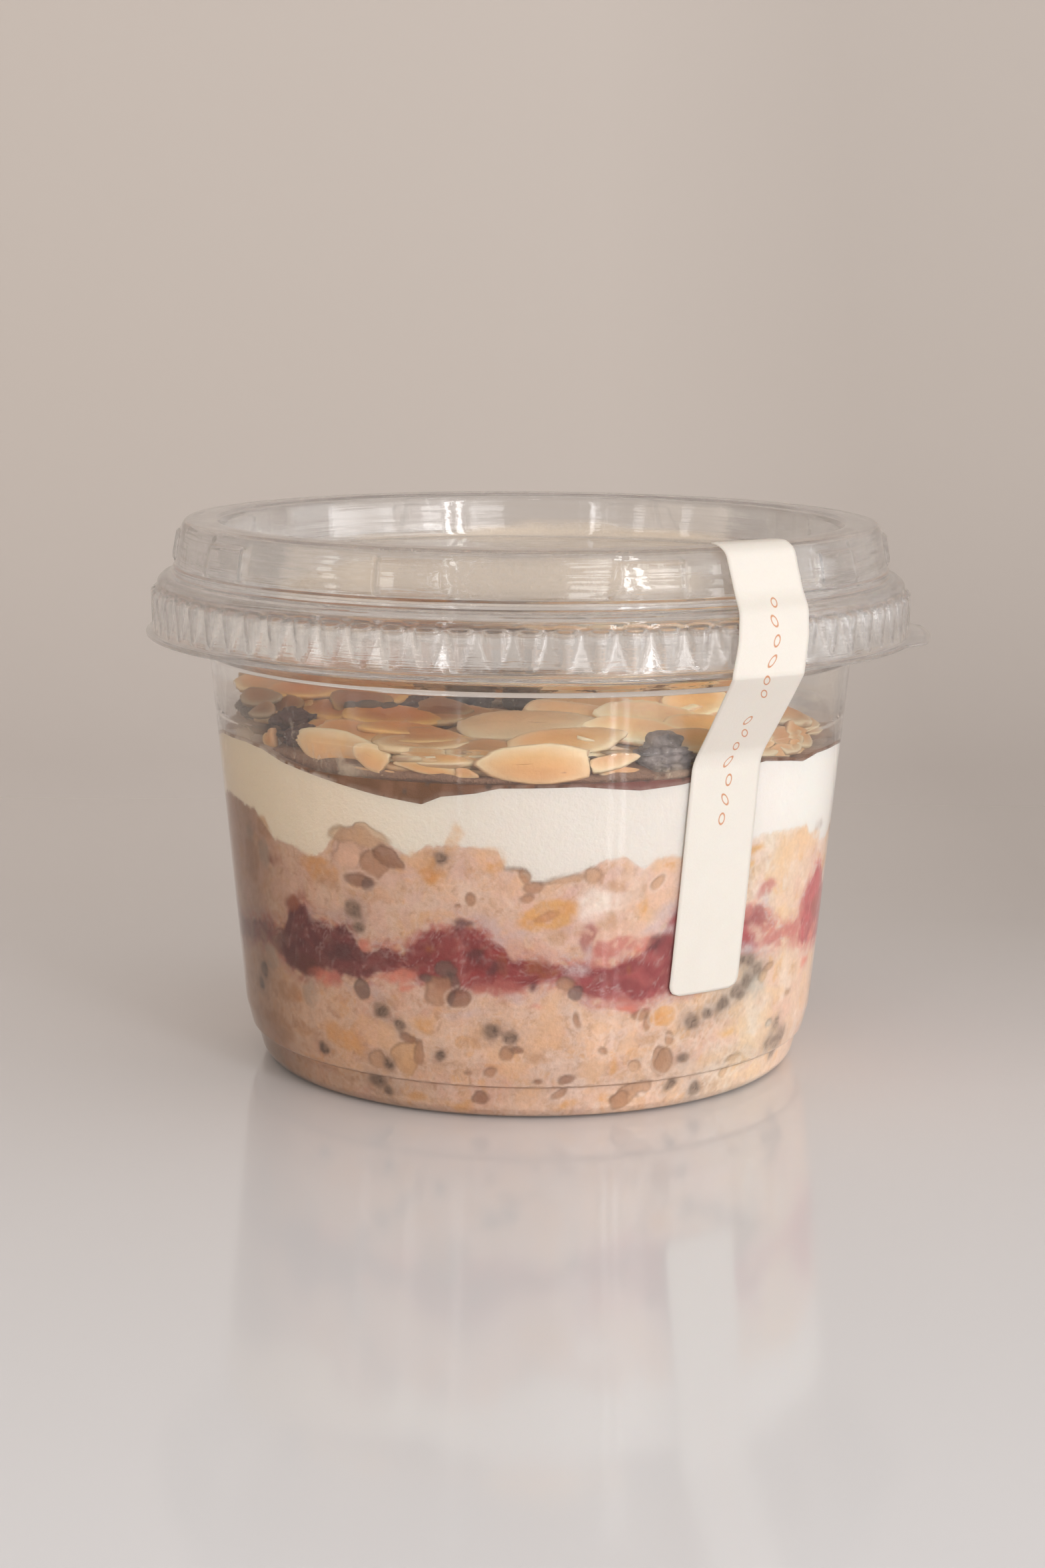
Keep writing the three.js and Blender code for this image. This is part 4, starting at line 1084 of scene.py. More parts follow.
def food_colours(azimuth, height):
    """The whole picture through the wall: oats below, jam, oats above and yoghurt, with ragged
    edges between them, then the soft and the crisp marks, a painted shadow line under the step
    in the foot with a painted light line over it, painted shade and light on the foot, and painted
    light and shade round the wall."""
    canvas = Canvas(azimuth, height)
    wobble = (canvas.grain(2.2, 21, 3) - 0.5) * 2.0
    fine = (canvas.grain(0.7, 22, 2) - 0.5) * 0.8
    turn = apart(canvas.azimuth, 0)
    broad = canvas.grain(5.0, 23, 3)
    oat_ground(canvas, turn, broad)

    over = canvas.height - (edge_at(OATS_TOP, canvas.azimuth) + 0.3 * wobble + 0.9 * fine)
    low = edge_at(JAM_BOTTOM, canvas.azimuth) + 0.4 * wobble + 0.9 * fine
    high = edge_at(JAM_TOP, canvas.azimuth) + 0.4 * wobble + 0.9 * fine
    jam_band(canvas, turn, low, high, broad)
    canvas.cover(PALE_CREAM, smooth((over + 0.8) / 0.8) * 0.5)
    canvas.cover(YOGHURT, smooth((over + 0.18) / 0.42))
    rng = np.random.default_rng(5)
    soft_marks(canvas, rng)
    crisp_marks(canvas, rng)

    # A painted shadow line under the step in the foot, and a painted light line just above it.
    step_shadow = np.exp(-(((canvas.height - 4.72) / 0.13) ** 2))
    canvas.cover(DARK_BROWN * 0.7, step_shadow * 0.55)
    canvas.cover(PALE_CREAM, np.exp(-(((canvas.height - 5.02) / 0.12) ** 2)) * 0.35)
    # Painted shade and light on the foot: darker at the left, lighter at the right.
    foot = np.interp(turn, (-66, -35, -5, 20, 70), (-0.18, -0.12, 0.0, 0.14, 0.1))
    foot = (1 + foot * smooth((FOOT_TOP - canvas.height) / 0.6))[..., None]
    cream = smooth((over + 0.18) / 0.42)[..., None]
    # Painted light and shade round the wall.
    tint = shade_round(turn, FOOD_LIGHT_AND_SHADE) * foot * (1 - cream) + shade_round(turn, YOGHURT_LIGHT_AND_SHADE) * cream
    canvas.coat *= tint
    return canvas


def film_colours(azimuth, height):
    """Brown fruit syrup over the yoghurt, purple towards the berries, with dark specks."""
    canvas = Canvas(azimuth, height)
    turn = apart(canvas.azimuth, 0)
    canvas.cover(FILM_BROWN, np.ones(canvas.height.shape))
    at_left = smooth((-turn - 8) / 10) * (turn > -110)
    canvas.cover(FILM_TAN, at_left * (0.55 + 0.45 * canvas.grain(2.0, 43)))
    canvas.cover(FILM_PURPLE, np.exp(-(((turn - 20) / 11) ** 2)) * 0.9)
    canvas.cover(DARK_BROWN, smooth((canvas.grain(2.5, 41) - 0.5) / 0.2) * 0.45)
    low = yoghurt_top(canvas.azimuth, 1.0)
    creamy = smooth((canvas.grain(1.2, 44, 3) - 0.3) / 0.3) * smooth((low + 0.7 - canvas.height) / 0.6)
    canvas.cover(HAZE, creamy * (0.25 + 0.6 * smooth((-turn - 30) / 12) * (turn > -110)))
    canvas.cover(HAZE, smooth((-turn - 46) / 8) * 0.35 * (turn > -100))
    rng = np.random.default_rng(8)
    specks = 90
    turns, heights = rng.uniform(-60, 300, specks), rng.uniform(41.3, 44.2, specks)
    for at, up, size in zip(turns, heights, rng.uniform(0.1, 0.28, specks)):
        canvas.spot(at, up, size, size, 0, SEED_CRACK, edge=0.08, ragged=0.1, strength=0.8)
    canvas.spot(-6.8, 43.4, 0.4, 0.35, 0, SEED_CRACK, edge=0.1, ragged=0.1)
    return canvas


def columns_round():
    """Azimuths of a wall grid: fine over the front, coarser over the back."""
    front = np.linspace(-84, 84, 640, endpoint=False)
    return np.concatenate([front, np.linspace(84, 276, 360, endpoint=False)])


def layer_mesh(name, low, high, colours, row_height):
    """A food layer as one closed skin: out along its lower level, up the wall just under the
    outer face of the plastic, and back along its upper level."""
    azimuth = columns_round()[None, :]
    shares = np.array([0, 0.3, 0.6, 0.8, 0.92, 0.98])[:, None]
    bottom, top = low(azimuth, 1.0), high(azimuth, 1.0)
    rows = max(4, math.ceil(float((top - bottom).mean()) / row_height))
    climb = np.linspace(0, 1, rows)[:, None]
    wall_height = bottom + (top - bottom) * climb
    canvas = colours(azimuth, wall_height)
    relief = 0.1 * canvas.grain(1.3, 31) + canvas.dent
    radius = outer_radius(wall_height) - FOOD_DEPTH - np.minimum(relief, 0.28)
    wall = polar(azimuth, radius, wall_height)

    def inner(surface, share):
        """Points of a level, at a share of the way out to the wall."""
        height = surface(azimuth, share)
        return polar(azimuth, (outer_radius(height) - FOOD_DEPTH) * share, height)

    rings = np.concatenate([inner(low, shares), wall, inner(high, shares[::-1])])
    under = np.repeat(canvas.coat[:1], len(shares), axis=0)
    paint = np.concatenate([under, canvas.coat, np.repeat(canvas.coat[-1:], len(shares), axis=0)])
    points, faces, paint = revolved(rings, paint)
    return mesh_of(name, points, faces, paint, crease=50)


def food_layers():
    """The five layers, each between two levels, in the finish of its food."""
    oats = wall_food("moist_oats", 0.55, 0.11, 0.12)
    jam = wall_food("strawberry_layer_finish", 0.45, 0.1, 0.1)
    cream = wall_food("smooth_yoghurt", 0.4, 0.015, 0.25)
    syrup = wall_food("fruit_syrup", 0.3, 0.08, 0.1)

    def floor(azimuth, share):
        """The flat underside of the lowest layer."""
        return 0.5 + 0 * azimuth * share

    stack = [
        ("oats_lower_body", floor, jam_bottom, 0.24, oats, "oats", "oats_lower"),
        ("jam_band", jam_bottom, jam_top, 0.22, jam, "strawberry_jam", "strawberry_layer"),
        ("oats_upper_body", jam_top, oats_top, 0.23, oats, "oats", "oats_upper"),
        ("yoghurt_band", oats_top, yoghurt_top, 0.3, cream, "yoghurt", "yoghurt"),
        ("syrup_film", yoghurt_top, film_top, 0.16, syrup, "fruit_film", "fruit_film"),
    ]
    for name, low, high, row_height, material, slot, node in stack:
        colours = film_colours if low is yoghurt_top else food_colours
        show(layer_mesh(name, low, high, colours, row_height), material, slot, node)


# The topping.

# Flakes that show from the front: azimuth, radius and height of the middle, length, width,
# heading, lean, tip, spin, what share of the length is broken off the blunt end, and how dark
# it is: below 0 pale, 0 amber, 1 toasted brown, and over 1 darker still, up to 2.
SHOWN_FLAKES = [
    (0.9, 40.0, 46.05, 15.0, 5.1, 0, 76, -1, 180, 0.06, 0.0),
    (14.4, 39.9, 46.1, 7.2, 2.0, 15, 62, -11, 0, 0.12, -0.4),
    (-1.0, 25.0, 48.4, 17.8, 9.4, 17, 12, -3, 0, 0.0, -0.7),
    (8.0, 33.6, 47.4, 15.6, 7.2, 24, 20, -5, 0, 0.0, 0.05),
    (-37.4, 38.6, 45.9, 15.6, 5.4, -38, 64, 10, 180, 0.04, 0.05),
    (-28.6, 39.5, 45.7, 6.4, 3.2, -29, 66, 22, 180, 0.2, -0.1),
    (-29.6, 39.9, 44.0, 5.4, 1.0, -29, 80, 3, 0, 0.0, -0.4),
    (-25.0, 39.9, 43.95, 2.2, 1.1, -25, 80, -4, 0, 0.2, -0.4),
    (-39.0, 34.2, 47.3, 14.0, 7.0, -34, 9, 4, 0, 0.1, 0.4),
    (-28.0, 31.0, 47.9, 15.0, 5.0, -21, 4, 4, 0, 0.0, 0.2),
    (-24.0, 32.8, 47.6, 12.8, 6.6, -10, 6, 0, 0, 0.0, 0.6),
    (-21.2, 35.0, 47.0, 13.2, 6.2, 4, 5, 0, 0, 0.0, 0.4),
    (-17.0, 36.5, 46.4, 12.6, 5.4, 2, 5, 1, 0, 0.0, 0.4),
    (-15.2, 39.2, 45.9, 7.8, 1.9, -14, 30, -1, 0, 0.0, 0.1),
    (-17.8, 39.8, 44.95, 9.2, 1.6, -17, 62, 8, 180, 0.0, 0.1),
    (-11.2, 39.8, 44.5, 3.4, 1.5, -11, 66, 3, 0, 0.15, 0.2),
    (40.0, 25.0, 48.5, 17.0, 8.6, -30, 13, 7, 0, 0.0, -0.5),
    (28.0, 30.5, 47.8, 16.0, 7.0, -21, 14, 7, 0, 0.0, -0.35),
    (68.0, 16.0, 48.4, 16.0, 8.6, -12, 12, 2, 0, 0.0, -0.1),
    (78.0, 23.0, 48.7, 14.0, 8.0, 52, 18, -6, 0, 0.0, 0.1),
    (16.8, 39.7, 44.6, 6.6, 1.6, 17, 60, 4, 0, 0.0, 0.2),
    (-66.0, 36.6, 47.6, 5.2, 2.6, -46, 6, 0, 0, 0.0, 0.1),
    (-76.0, 33.0, 48.5, 8.8, 6.6, -30, 18, 0, 0, 0.0, 0.9),
    (-54.0, 40.2, 46.2, 2.9, 2.2, -54, 76, 60, 0, 0.1, 0.45),
    (68.0, 36.4, 48.2, 8.8, 5.6, 60, 20, 5, 0, 0.0, 0.7),
    (50.0, 37.6, 46.3, 9.4, 5.2, 50, 34, 4, 0, 0.1, 0.5),
    (57.5, 38.4, 46.0, 7.6, 4.4, 58, 42, -3, 0, 0.1, 0.6),
    (44.5, 38.4, 46.7, 7.8, 4.2, 45, 30, -6, 0, 0.1, 0.3),
    (63.5, 38.6, 46.2, 6.8, 4.2, 62, 50, 8, 0, 0.0, 0.4),
    (53.0, 39.2, 44.9, 5.6, 2.4, 53, 60, -5, 0, 0.1, 0.3),
    (60.0, 39.2, 45.0, 5.2, 2.2, 60, 62, 10, 0, 0.1, 0.2),
    (73.0, 37.4, 46.9, 8.2, 5.0, 70, 25, 0, 0, 0.0, 0.5),
    (37.0, 35.6, 47.0, 11.5, 6.4, 34, 20, 3, 0, 0.0, 0.0),
    (46.0, 31.5, 47.8, 13.0, 7.2, 30, 14, 4, 0, 0.0, 0.1),
    (-8.0, 35.5, 46.9, 10.5, 6.0, -6, 9, 0, 0, 0.0, 0.5),
    (-12.0, 19.0, 47.9, 13.0, 7.6, -14, 11, 3, 0, 0.0, 0.75),
    (22.0, 17.0, 48.4, 15.0, 8.2, 8, 12, 4, 0, 0.0, -0.3),
    (-44.0, 25.0, 48.3, 13.5, 7.4, -12, 10, 4, 0, 0.0, 0.8),
    (-62.0, 28.5, 48.4, 12.0, 7.0, -40, 12, 0, 0, 0.0, 0.85),
    (-30.0, 19.5, 48.6, 12.0, 7.0, 8, 12, -2, 0, 0.0, 0.9),
    (42.0, 12.0, 48.8, 14.0, 8.0, -8, 12, 3, 0, 0.0, 0.2),
    (-78.0, 22.0, 48.9, 12.0, 7.0, 12, 12, 0, 0, 0.0, 0.8),
    (-60.0, 25.5, 49.4, 9.0, 4.6, 14, 38, 0, 0, 0.1, 1.9),
    (-34.0, 20.0, 49.0, 8.0, 4.2, -10, 36, 0, 0, 0.1, 1.8),
    (-71.0, 33.5, 48.6, 7.0, 3.2, -40, 44, 0, 0, 0.1, 1.8),
    (-66.0, 37.6, 48.6, 5.0, 3.0, -52, 30, 0, 0, 0.0, 1.7),
    (-84.0, 35.2, 50.4, 9.0, 4.4, -15, 30, 0, 0, 0.0, 0.55),
    (-96.0, 34.5, 50.6, 11.0, 6.0, 8, 30, 0, 0, 0.0, 1.5),
    (-108.0, 33.5, 50.4, 12.0, 6.5, -30, 30, 0, 0, 0.1, 0.9),
    (-76.0, 30.5, 50.2, 11.0, 5.0, 15, 16, 0, 0, 0.0, 0.7),
    (-90.0, 26.0, 50.2, 13.0, 7.0, -15, 16, 0, 0, 0.1, 0.95),
    (-124.0, 32.0, 49.9, 12.0, 7.0, 20, 30, 0, 0, 0.0, 1.4),
    (-73.0, 36.6, 49.6, 6.0, 3.2, -20, 40, 0, 0, 0.0, 1.8),
]

# The mean thickness of a flake, and the tones of almond.
FLAKE_T = 0.95
NUT_CREAM = tone(219, 200, 164)
NUT_PALE = tone(217, 194, 158)
NUT_AMBER = tone(208, 164, 106)
NUT_ROAST = tone(180, 122, 74)
NUT_PINK = tone(196, 148, 116)
NUT_SKIN = tone(146, 88, 52)
NUT_ORANGE = tone(196, 128, 70)

# Seeds that show from the front: azimuth, radius, height and size.
SHOWN_SEEDS = [
    (-70.0, 36.0, 47.6, 0.8), (-64.0, 36.5, 47.0, 0.8), (-60.0, 37.2, 46.7, 0.7),
    (-17.5, 38.6, 45.5, 0.6), (-15.5, 38.5, 45.4, 0.5), (12.0, 36.5, 46.2, 0.7),
    (15.0, 33.0, 46.7, 0.8), (-53.5, 25.6, 49.3, 1.6), (-57.0, 27.5, 49.2, 1.2),
    (-50.0, 23.5, 49.2, 1.3),
]


def turned(axis, degrees):
    """Rotation matrices about X, Y or Z for an array of angles."""
    c, s = np.cos(np.radians(degrees)), np.sin(np.radians(degrees))
    made = np.zeros((len(c), 3, 3))
    first, second = {"X": (1, 2), "Y": (2, 0), "Z": (0, 1)}[axis]
    made[:, [first, second], [first, second]] = c[:, None]
    made[:, second, first] = s
    made[:, first, second] = -s
    own = 3 - first - second
    made[:, own, own] = 1
    return made


def sliced(size, thick, cut, bend, seed):
    """Sliced nuts as one array: each an egg-shaped disc with a rounded edge, pointed at +x, bent
    along its length and a little wavy. A cut breaks off the other end raggedly.
    Returns points of shape (flakes, rings, sides, 3) and each ring's share from the middle."""
    sides, count = 24, len(size)
    around = np.radians(np.arange(sides) * 360 / sides)[None, None, :]
    share = np.array([0.02, 0.4, 0.72, 0.92, 1.0, 1.0, 0.92, 0.6, 0.02])[None, :, None]
    lift = np.array([0.5, 0.5, 0.5, 0.47, 0.28, -0.28, -0.47, -0.5, -0.5])[None, :, None]
    rng = np.random.default_rng(seed)
    long, wide = size[:, 0, None, None], size[:, 1, None, None]
    wave = 1 + 0.035 * np.sin(3 * around + rng.uniform(0, 6, (count, 1, 1)))
    wave = wave + 0.025 * np.sin(7 * around + rng.uniform(0, 6, (count, 1, 1)))
    egg = np.sin(around) * (0.92 - 0.2 * np.cos(around) - 0.12 * np.cos(around) ** 3)
    x = 0.5 * long * np.cos(around) * share * wave
    y = 0.5 * wide * egg * share * wave * 1.06
    torn = 0.035 * wide * np.sin(9 * y / wide + rng.uniform(0, 6, (count, 1, 1)))
    torn = torn + 0.02 * wide * np.sin(23 * y / wide + rng.uniform(0, 6, (count, 1, 1)))
    limit = -0.5 * long + cut[:, None, None] * long + torn
    x = np.where(cut[:, None, None] > 0, np.maximum(x, limit), x)
    z = thick[:, None, None] * lift
    z = z * (1 - 0.35 * np.clip(2 * x / long, 0, 1) ** 2)
    z = z + bend[:, None, None] * (2 * x / long) ** 2 + 0.12 * np.sin(4 * y / wide + 3 * x / long)
    return np.stack(np.broadcast_arrays(x, y, z), axis=-1), share


def nut_mesh(name, local, centre, heading, lean, tip, spin, paint):
    """Turns flakes into place: spun in their own plane, leant outwards, tipped, and turned to
    their heading. Flakes that would cross the wall are drawn in to touch it."""
    pose = turned("Z", heading) @ turned("Y", tip) @ turned("X", lean) @ turned("Z", spin)
    placed = np.einsum("nij,nrsj->nrsi", pose, local) + centre[:, None, None, :]
    reach = np.hypot(placed[..., 0], placed[..., 1]) - (wall_radius(placed[..., 2]) - WALL_T - 0.12)
    over = np.maximum(reach.reshape(len(placed), -1).max(axis=1), 0)
    flat = centre[:, :2] / np.maximum(np.linalg.norm(centre[:, :2], axis=1, keepdims=True), 1e-6)
    placed[..., :2] -= (flat * over[:, None])[:, None, None, :]
    count, rings, sides = placed.shape[:3]
    quads = grid_quads(rings, sides)[:, ::-1]
    fan = np.arange(sides - 2)
    cap_top = np.stack([0 * fan, fan + 1, fan + 2], axis=-1)
    cap_low = np.stack([0 * fan, fan + 2, fan + 1], axis=-1) + (rings - 1) * sides
    faces = many_times([quads, cap_top, cap_low], count, rings * sides)
    return mesh_of(name, placed.reshape(-1, 3), faces, paint.reshape(-1, 3))


def nut_paint(local, share, size, roast, depth, seed):
    """Cream rim, pale band and an amber to roasted middle, warmer towards one side, with a thin
    line of brown skin on some, and darker still where the darkness is over 1. The underside of
    every flake gets painted shade, and flakes deeper in the heap are darker by painted shade; the
    same factor also carries painted light."""
    rng = np.random.default_rng(seed)
    count = len(local)
    warm = roast[:, None, None, None]
    patch = cloud(local + rng.uniform(0, 90, (count, 1, 1, 3)), 3.0, seed, 2)[..., None]
    blush = rng.uniform(0, 0.16, (count, 1, 1, 1))
    side = smooth(0.5 + 1.2 * local[..., 1] / size[:, 1, None, None])[..., None]
    toast = np.clip(warm, 0, 1)
    # Over 1, a flake is painted darker still.
    darker_still = 0.55 * np.clip(warm - 1, 0, 1)
    middle = NUT_AMBER * (1 - toast) + NUT_ROAST * toast
    middle = middle + (NUT_PALE * 1.05 - middle) * np.clip(-warm, 0, 1)
    middle = middle * (1 - 0.6 * side) + NUT_ORANGE * 0.6 * side
    middle = (middle * (1 - blush) + NUT_PINK * blush) * (0.84 + 0.32 * patch)
    from_middle = np.broadcast_to(share[..., None], patch.shape) + 0.2 * (patch - 0.5) - 0.08 * side
    rim = smooth((from_middle - 0.68) / 0.24) * 0.85 * (1 - 0.5 * side)
    pale = smooth((from_middle - 0.3) / 0.45) * 0.4 * (1 - 0.6 * side)
    coat = middle * (1 - pale) + NUT_PALE * pale
    rim = rim * (0.25 + 0.75 * smooth((size[:, 0, None, None, None] - 3.5) / 4))
    coat = coat * (1 - rim) + NUT_CREAM * (1 - 0.3 * blush) * rim
    skin = (rng.random(count) < 0.4)[:, None, None, None]
    ring = np.arange(local.shape[1])[None, :, None, None]
    on_edge = (ring == 4) & skin & (patch > 0.45)
    coat = np.where(on_edge, coat * 0.4 + NUT_SKIN * 0.6, coat)
    # Painted shade on the underside of every flake.
    coat = np.where(ring > 4, coat * np.array([0.6, 0.48, 0.38]), coat)
    # The depth factor paints shade and light on each flake.
    return coat * (1 - 0.25 * toast) * (1 - darker_still) * depth[:, None, None, None]


def loose_flakes(rng, count):
    """Seeded flakes in two loose coats over the heap, lower and further in at the front, where
    the shown ones lie, and higher at the left. Also how far each is above the top of the heap."""
    azimuth = rng.uniform(-180, 180, count)
    radius = np.sqrt(rng.uniform(0, 1, count)) * 37.0
    ahead = radius * np.cos(np.radians(azimuth)) > -6
    radius = np.where(ahead, np.minimum(radius, 31), radius)
    above = rng.uniform(-1.1, 0.9, count)
    height = heap_top(azimuth, radius / FULL_R) + np.where(ahead, -0.7 + 0.4 * above, above)
    height = height + 2.0 * np.exp(-(((azimuth + 88) / 32) ** 2)) * smooth((radius - 12) / 10)
    long, wide = rng.uniform(11, 17, count), rng.uniform(6, 9, count)
    heading = rng.uniform(-180, 180, count)
    lean, tip = rng.normal(0, 8, count), rng.normal(0, 6, count)
    spin = rng.uniform(0, 360, count)
    cut = np.where(rng.random(count) < 0.4, rng.uniform(0.1, 0.4, count), 0)
    roast = np.clip(rng.normal(0.6, 0.25, count), 0, 1)
    flakes = [azimuth, radius, height, long, wide, heading, lean, tip, spin, cut, roast]
    return np.stack(flakes, axis=1), above


def slivers(rng):
    """Seeded thin slivers along the wall at the front, in two groups."""
    azimuth = np.concatenate([rng.uniform(-24, -7, 22), rng.uniform(22, 62, 12)])
    count = len(azimuth)
    radius, height = rng.uniform(36.4, 39.0, count), rng.uniform(44.6, 46.4, count)
    long, wide = rng.uniform(5, 10, count), rng.uniform(1.5, 3.2, count)
    heading = azimuth + rng.uniform(-12, 12, count)
    lean, tip = rng.uniform(8, 55, count), rng.uniform(-6, 6, count)
    spin, cut = rng.choice([0, 180], count), rng.choice([0, 0.2], count)
    roast = rng.uniform(-0.1, 1.0, count)
    return np.stack([azimuth, radius, height, long, wide, heading, lean, tip, spin, cut, roast], axis=1)


def almonds():
    """The shown flakes, the slivers, and the loose flakes that keep clear of the berries. Flakes
    away from the wall are warmer and get painted shade at the left and painted light at the right,
    and loose flakes lower in the heap get painted shade."""
    rng = np.random.default_rng(17)
    loose, above = loose_flakes(rng, 130)
    shown = np.concatenate([np.array(SHOWN_FLAKES), slivers(np.random.default_rng(19))])
    rows = np.concatenate([shown, loose])
    behind = np.concatenate([smooth((37 - shown[:, 1]) / 6), np.ones(len(loose))])
    # Painted shade at the left and painted light at the right, for flakes away from the wall.
    side_light_and_shade = 0.76 + 0.46 * smooth((rows[:, 0] + 14) / 24)
    # Painted shade: loose flakes lower in the heap are darker.
    depth = np.concatenate([np.ones(len(shown)), 0.62 + 0.38 * smooth((above + 1.0) / 1.8)])
    depth = depth * (1 + (side_light_and_shade - 1) * behind)

    centre = polar(rows[:, 0], rows[:, 1], rows[:, 2])
    berries = np.array([middle[:2] for _, middle, *_ in FRUIT]) - np.array([0, 4.0])
    from_berry = np.linalg.norm(centre[:, None, :2] - berries[None], axis=-1).min(axis=1)
    kept = (np.arange(len(rows)) < len(shown)) | (from_berry > 6.5)
    # A warmer tint at the left and painted light at the right.
    left = smooth((-4 - centre[:, 0]) / 14) * behind
    right = smooth((centre[:, 0] - 2) / 14) * behind
    warmth_and_light = (1 + np.outer(left, [0.5, 0.0, -0.58])) * (1 + np.outer(right, [0.5, 0.58, 0.68]))
    rows, centre, depth, warmth_and_light = rows[kept], centre[kept], depth[kept], warmth_and_light[kept]

    size, (heading, lean, tip, spin, cut, roast) = rows[:, 3:5], rows[:, 5:].T
    thick = np.full(len(rows), FLAKE_T) * rng.uniform(0.8, 1.15, len(rows))
    local, ring = sliced(size, thick, cut, rng.uniform(-0.6, 0.4, len(rows)), 23)
    paint = nut_paint(local, ring, size, roast, depth, 29) * warmth_and_light[:, None, None, :]
    mesh = nut_mesh("almond_flakes", local, centre, heading, lean, tip, spin, paint)
    show(mesh, almond_finish(), "almonds", "almond_heap")


def unit_ball(rows, sides):
    """Points of a ball of radius 1 from its lowest to its highest, in rows of equal angle."""
    down = np.linspace(0, math.pi, rows)[:, None]
    around = np.radians(np.arange(sides) * 360 / sides)[None, :]
    out = np.sin(down)
    parts = np.broadcast_arrays(out * np.cos(around), out * np.sin(around), -np.cos(down))
    return np.stack(parts, axis=-1)


def pebbles(name, middles, halves, headings, tones):
    """Small seeds and crumbs in one mesh: each a lumpy little ellipsoid of a few dozen faces."""
    count, rows, sides = len(middles), 7, 8
    unit = unit_ball(rows, sides)[None]
    lumps = 0.85 + 0.3 * cloud(unit + middles[:, None, None, :], 0.9, 71, 1)[..., None]
    lumps[:, [0, -1]] = 1
    local = unit * lumps * halves[:, None, None, :]
    placed = np.einsum("nij,nrsj->nrsi", turned("Z", headings), local) + middles[:, None, None, :]
    inner = placed[:, 1:-1].reshape(count, -1, 3)
    points = np.concatenate([inner, placed[:, :1, 0], placed[:, -1:, 0]], axis=1)
    each = points.shape[1]
    faces = many_times(closed_faces(rows, sides), count, each)
    return mesh_of(name, points.reshape(-1, 3), faces, np.repeat(tones, each, axis=0))


def seeds_and_crumbs():
    """Dark green-brown seeds in front, and seeded ones with tan crumbs between the flakes."""
    rng = np.random.default_rng(37)
    shown = np.array(SHOWN_SEEDS)
    count = 170
    azimuth = rng.uniform(-180, 180, count)
    radius = np.sqrt(rng.uniform(0.02, 1, count)) * 38.5
    ahead = radius * np.cos(np.radians(azimuth)) > 2
    above = np.where(ahead, -0.3, rng.uniform(-0.3, 0.9, count))
    height = heap_top(azimuth, radius / FULL_R) + above
    crumb = rng.random(count) < 0.45
    size = np.where(ahead, 0.55, 1.0) * rng.uniform(0.5, 1.1, count)
    middles = np.concatenate([polar(*shown[:, :3].T), polar(azimuth, radius, height)])
    size = np.concatenate([shown[:, 3], size])
    crumb = np.concatenate([np.zeros(len(shown), bool), crumb])
    halves = size[:, None] * np.where(crumb[:, None], [1.0, 0.9, 0.8], [1.3, 0.85, 0.6])
    dark = rng.uniform(0, 1, (len(size), 1))
    tones = tone(54, 38, 28) * dark + tone(92, 66, 44) * (1 - dark)
    tones = np.where(crumb[:, None], NUT_ROAST * (0.7 + 0.5 * dark), tones)
    mesh = pebbles("seeds_and_crumbs", middles, halves, rng.uniform(0, 180, len(size)), tones)
    recipe = Recipe("seed_skin")
    fine = recipe.grain(0.4, 3.0, 0.6)
    show(mesh, recipe.finish(recipe.principled({
        "Base Color": recipe.paint(),
        "Roughness": 0.6 + 0.2 * fine,
        "Specular IOR Level": 0.2,
        "Normal": recipe.bump(fine, 0.1),
    })), "almonds")


def heap_core():
    """The inside of the heap, under the flakes: a bumpy body a little in from the wall, painted
    dark brown as painted shade between the flakes, and lighter and tanner near the wall.
    """
    azimuth = (np.arange(240) * 1.5)[None, :]
    shares = np.linspace(0, 1, 26)[:, None]

    def low(share):
        """Height of the underside, just in the syrup."""
        return film_top(azimuth, share) - 0.1 + 0 * share

    def high(share):
        """Height of the bumpy top, raised at the left and lower at its edge."""
        rough = cloud(polar(azimuth, 40 * share, 0 * share), 4.0, 61, 2)
        raised = 1.6 * np.exp(-(((apart(azimuth, -88)) / 32) ** 2)) * smooth((share - 0.3) / 0.3)
        edge = 0.9 * smooth((share - 0.9) / 0.1)
        return heap_top(azimuth, share) + raised - 1.1 + 1.6 * (rough - 0.5) - edge

    def ring(height, share):
        """Points at a height, at a share of the way out to the wall."""
        return polar(azimuth, (wall_radius(height) - WALL_T - 0.55) * share, height)

    rings = np.concatenate([ring(low(shares), shares), ring(high(shares[::-1]), shares[::-1])])
    patch = cloud(rings, 3.0, 62, 2)[..., None]
    # Painted shade: the inside of the heap is dark brown.
    paint = tone(84, 52, 36) * (1 - patch) + tone(136, 92, 60) * patch
    edge = smooth((np.hypot(rings[..., 0], rings[..., 1]) - 38.5) / 1.5)[..., None]
    paint = paint * (1 - edge) + (tone(130, 94, 70) * (0.75 + 0.45 * patch)) * edge
    points, faces, paint = revolved(rings, paint)
    recipe = Recipe("heap_shadow")
    crumb = recipe.grain(0.8, 3.0, 0.65)
    material = recipe.finish(recipe.principled({
        "Base Color": recipe.toned(0.7 + 0.6 * crumb),
        "Roughness": 0.7,
        "Normal": recipe.bump(crumb, 0.5),
    }))
    show(mesh_of("heap_inside", points, faces, paint), material, "almonds")


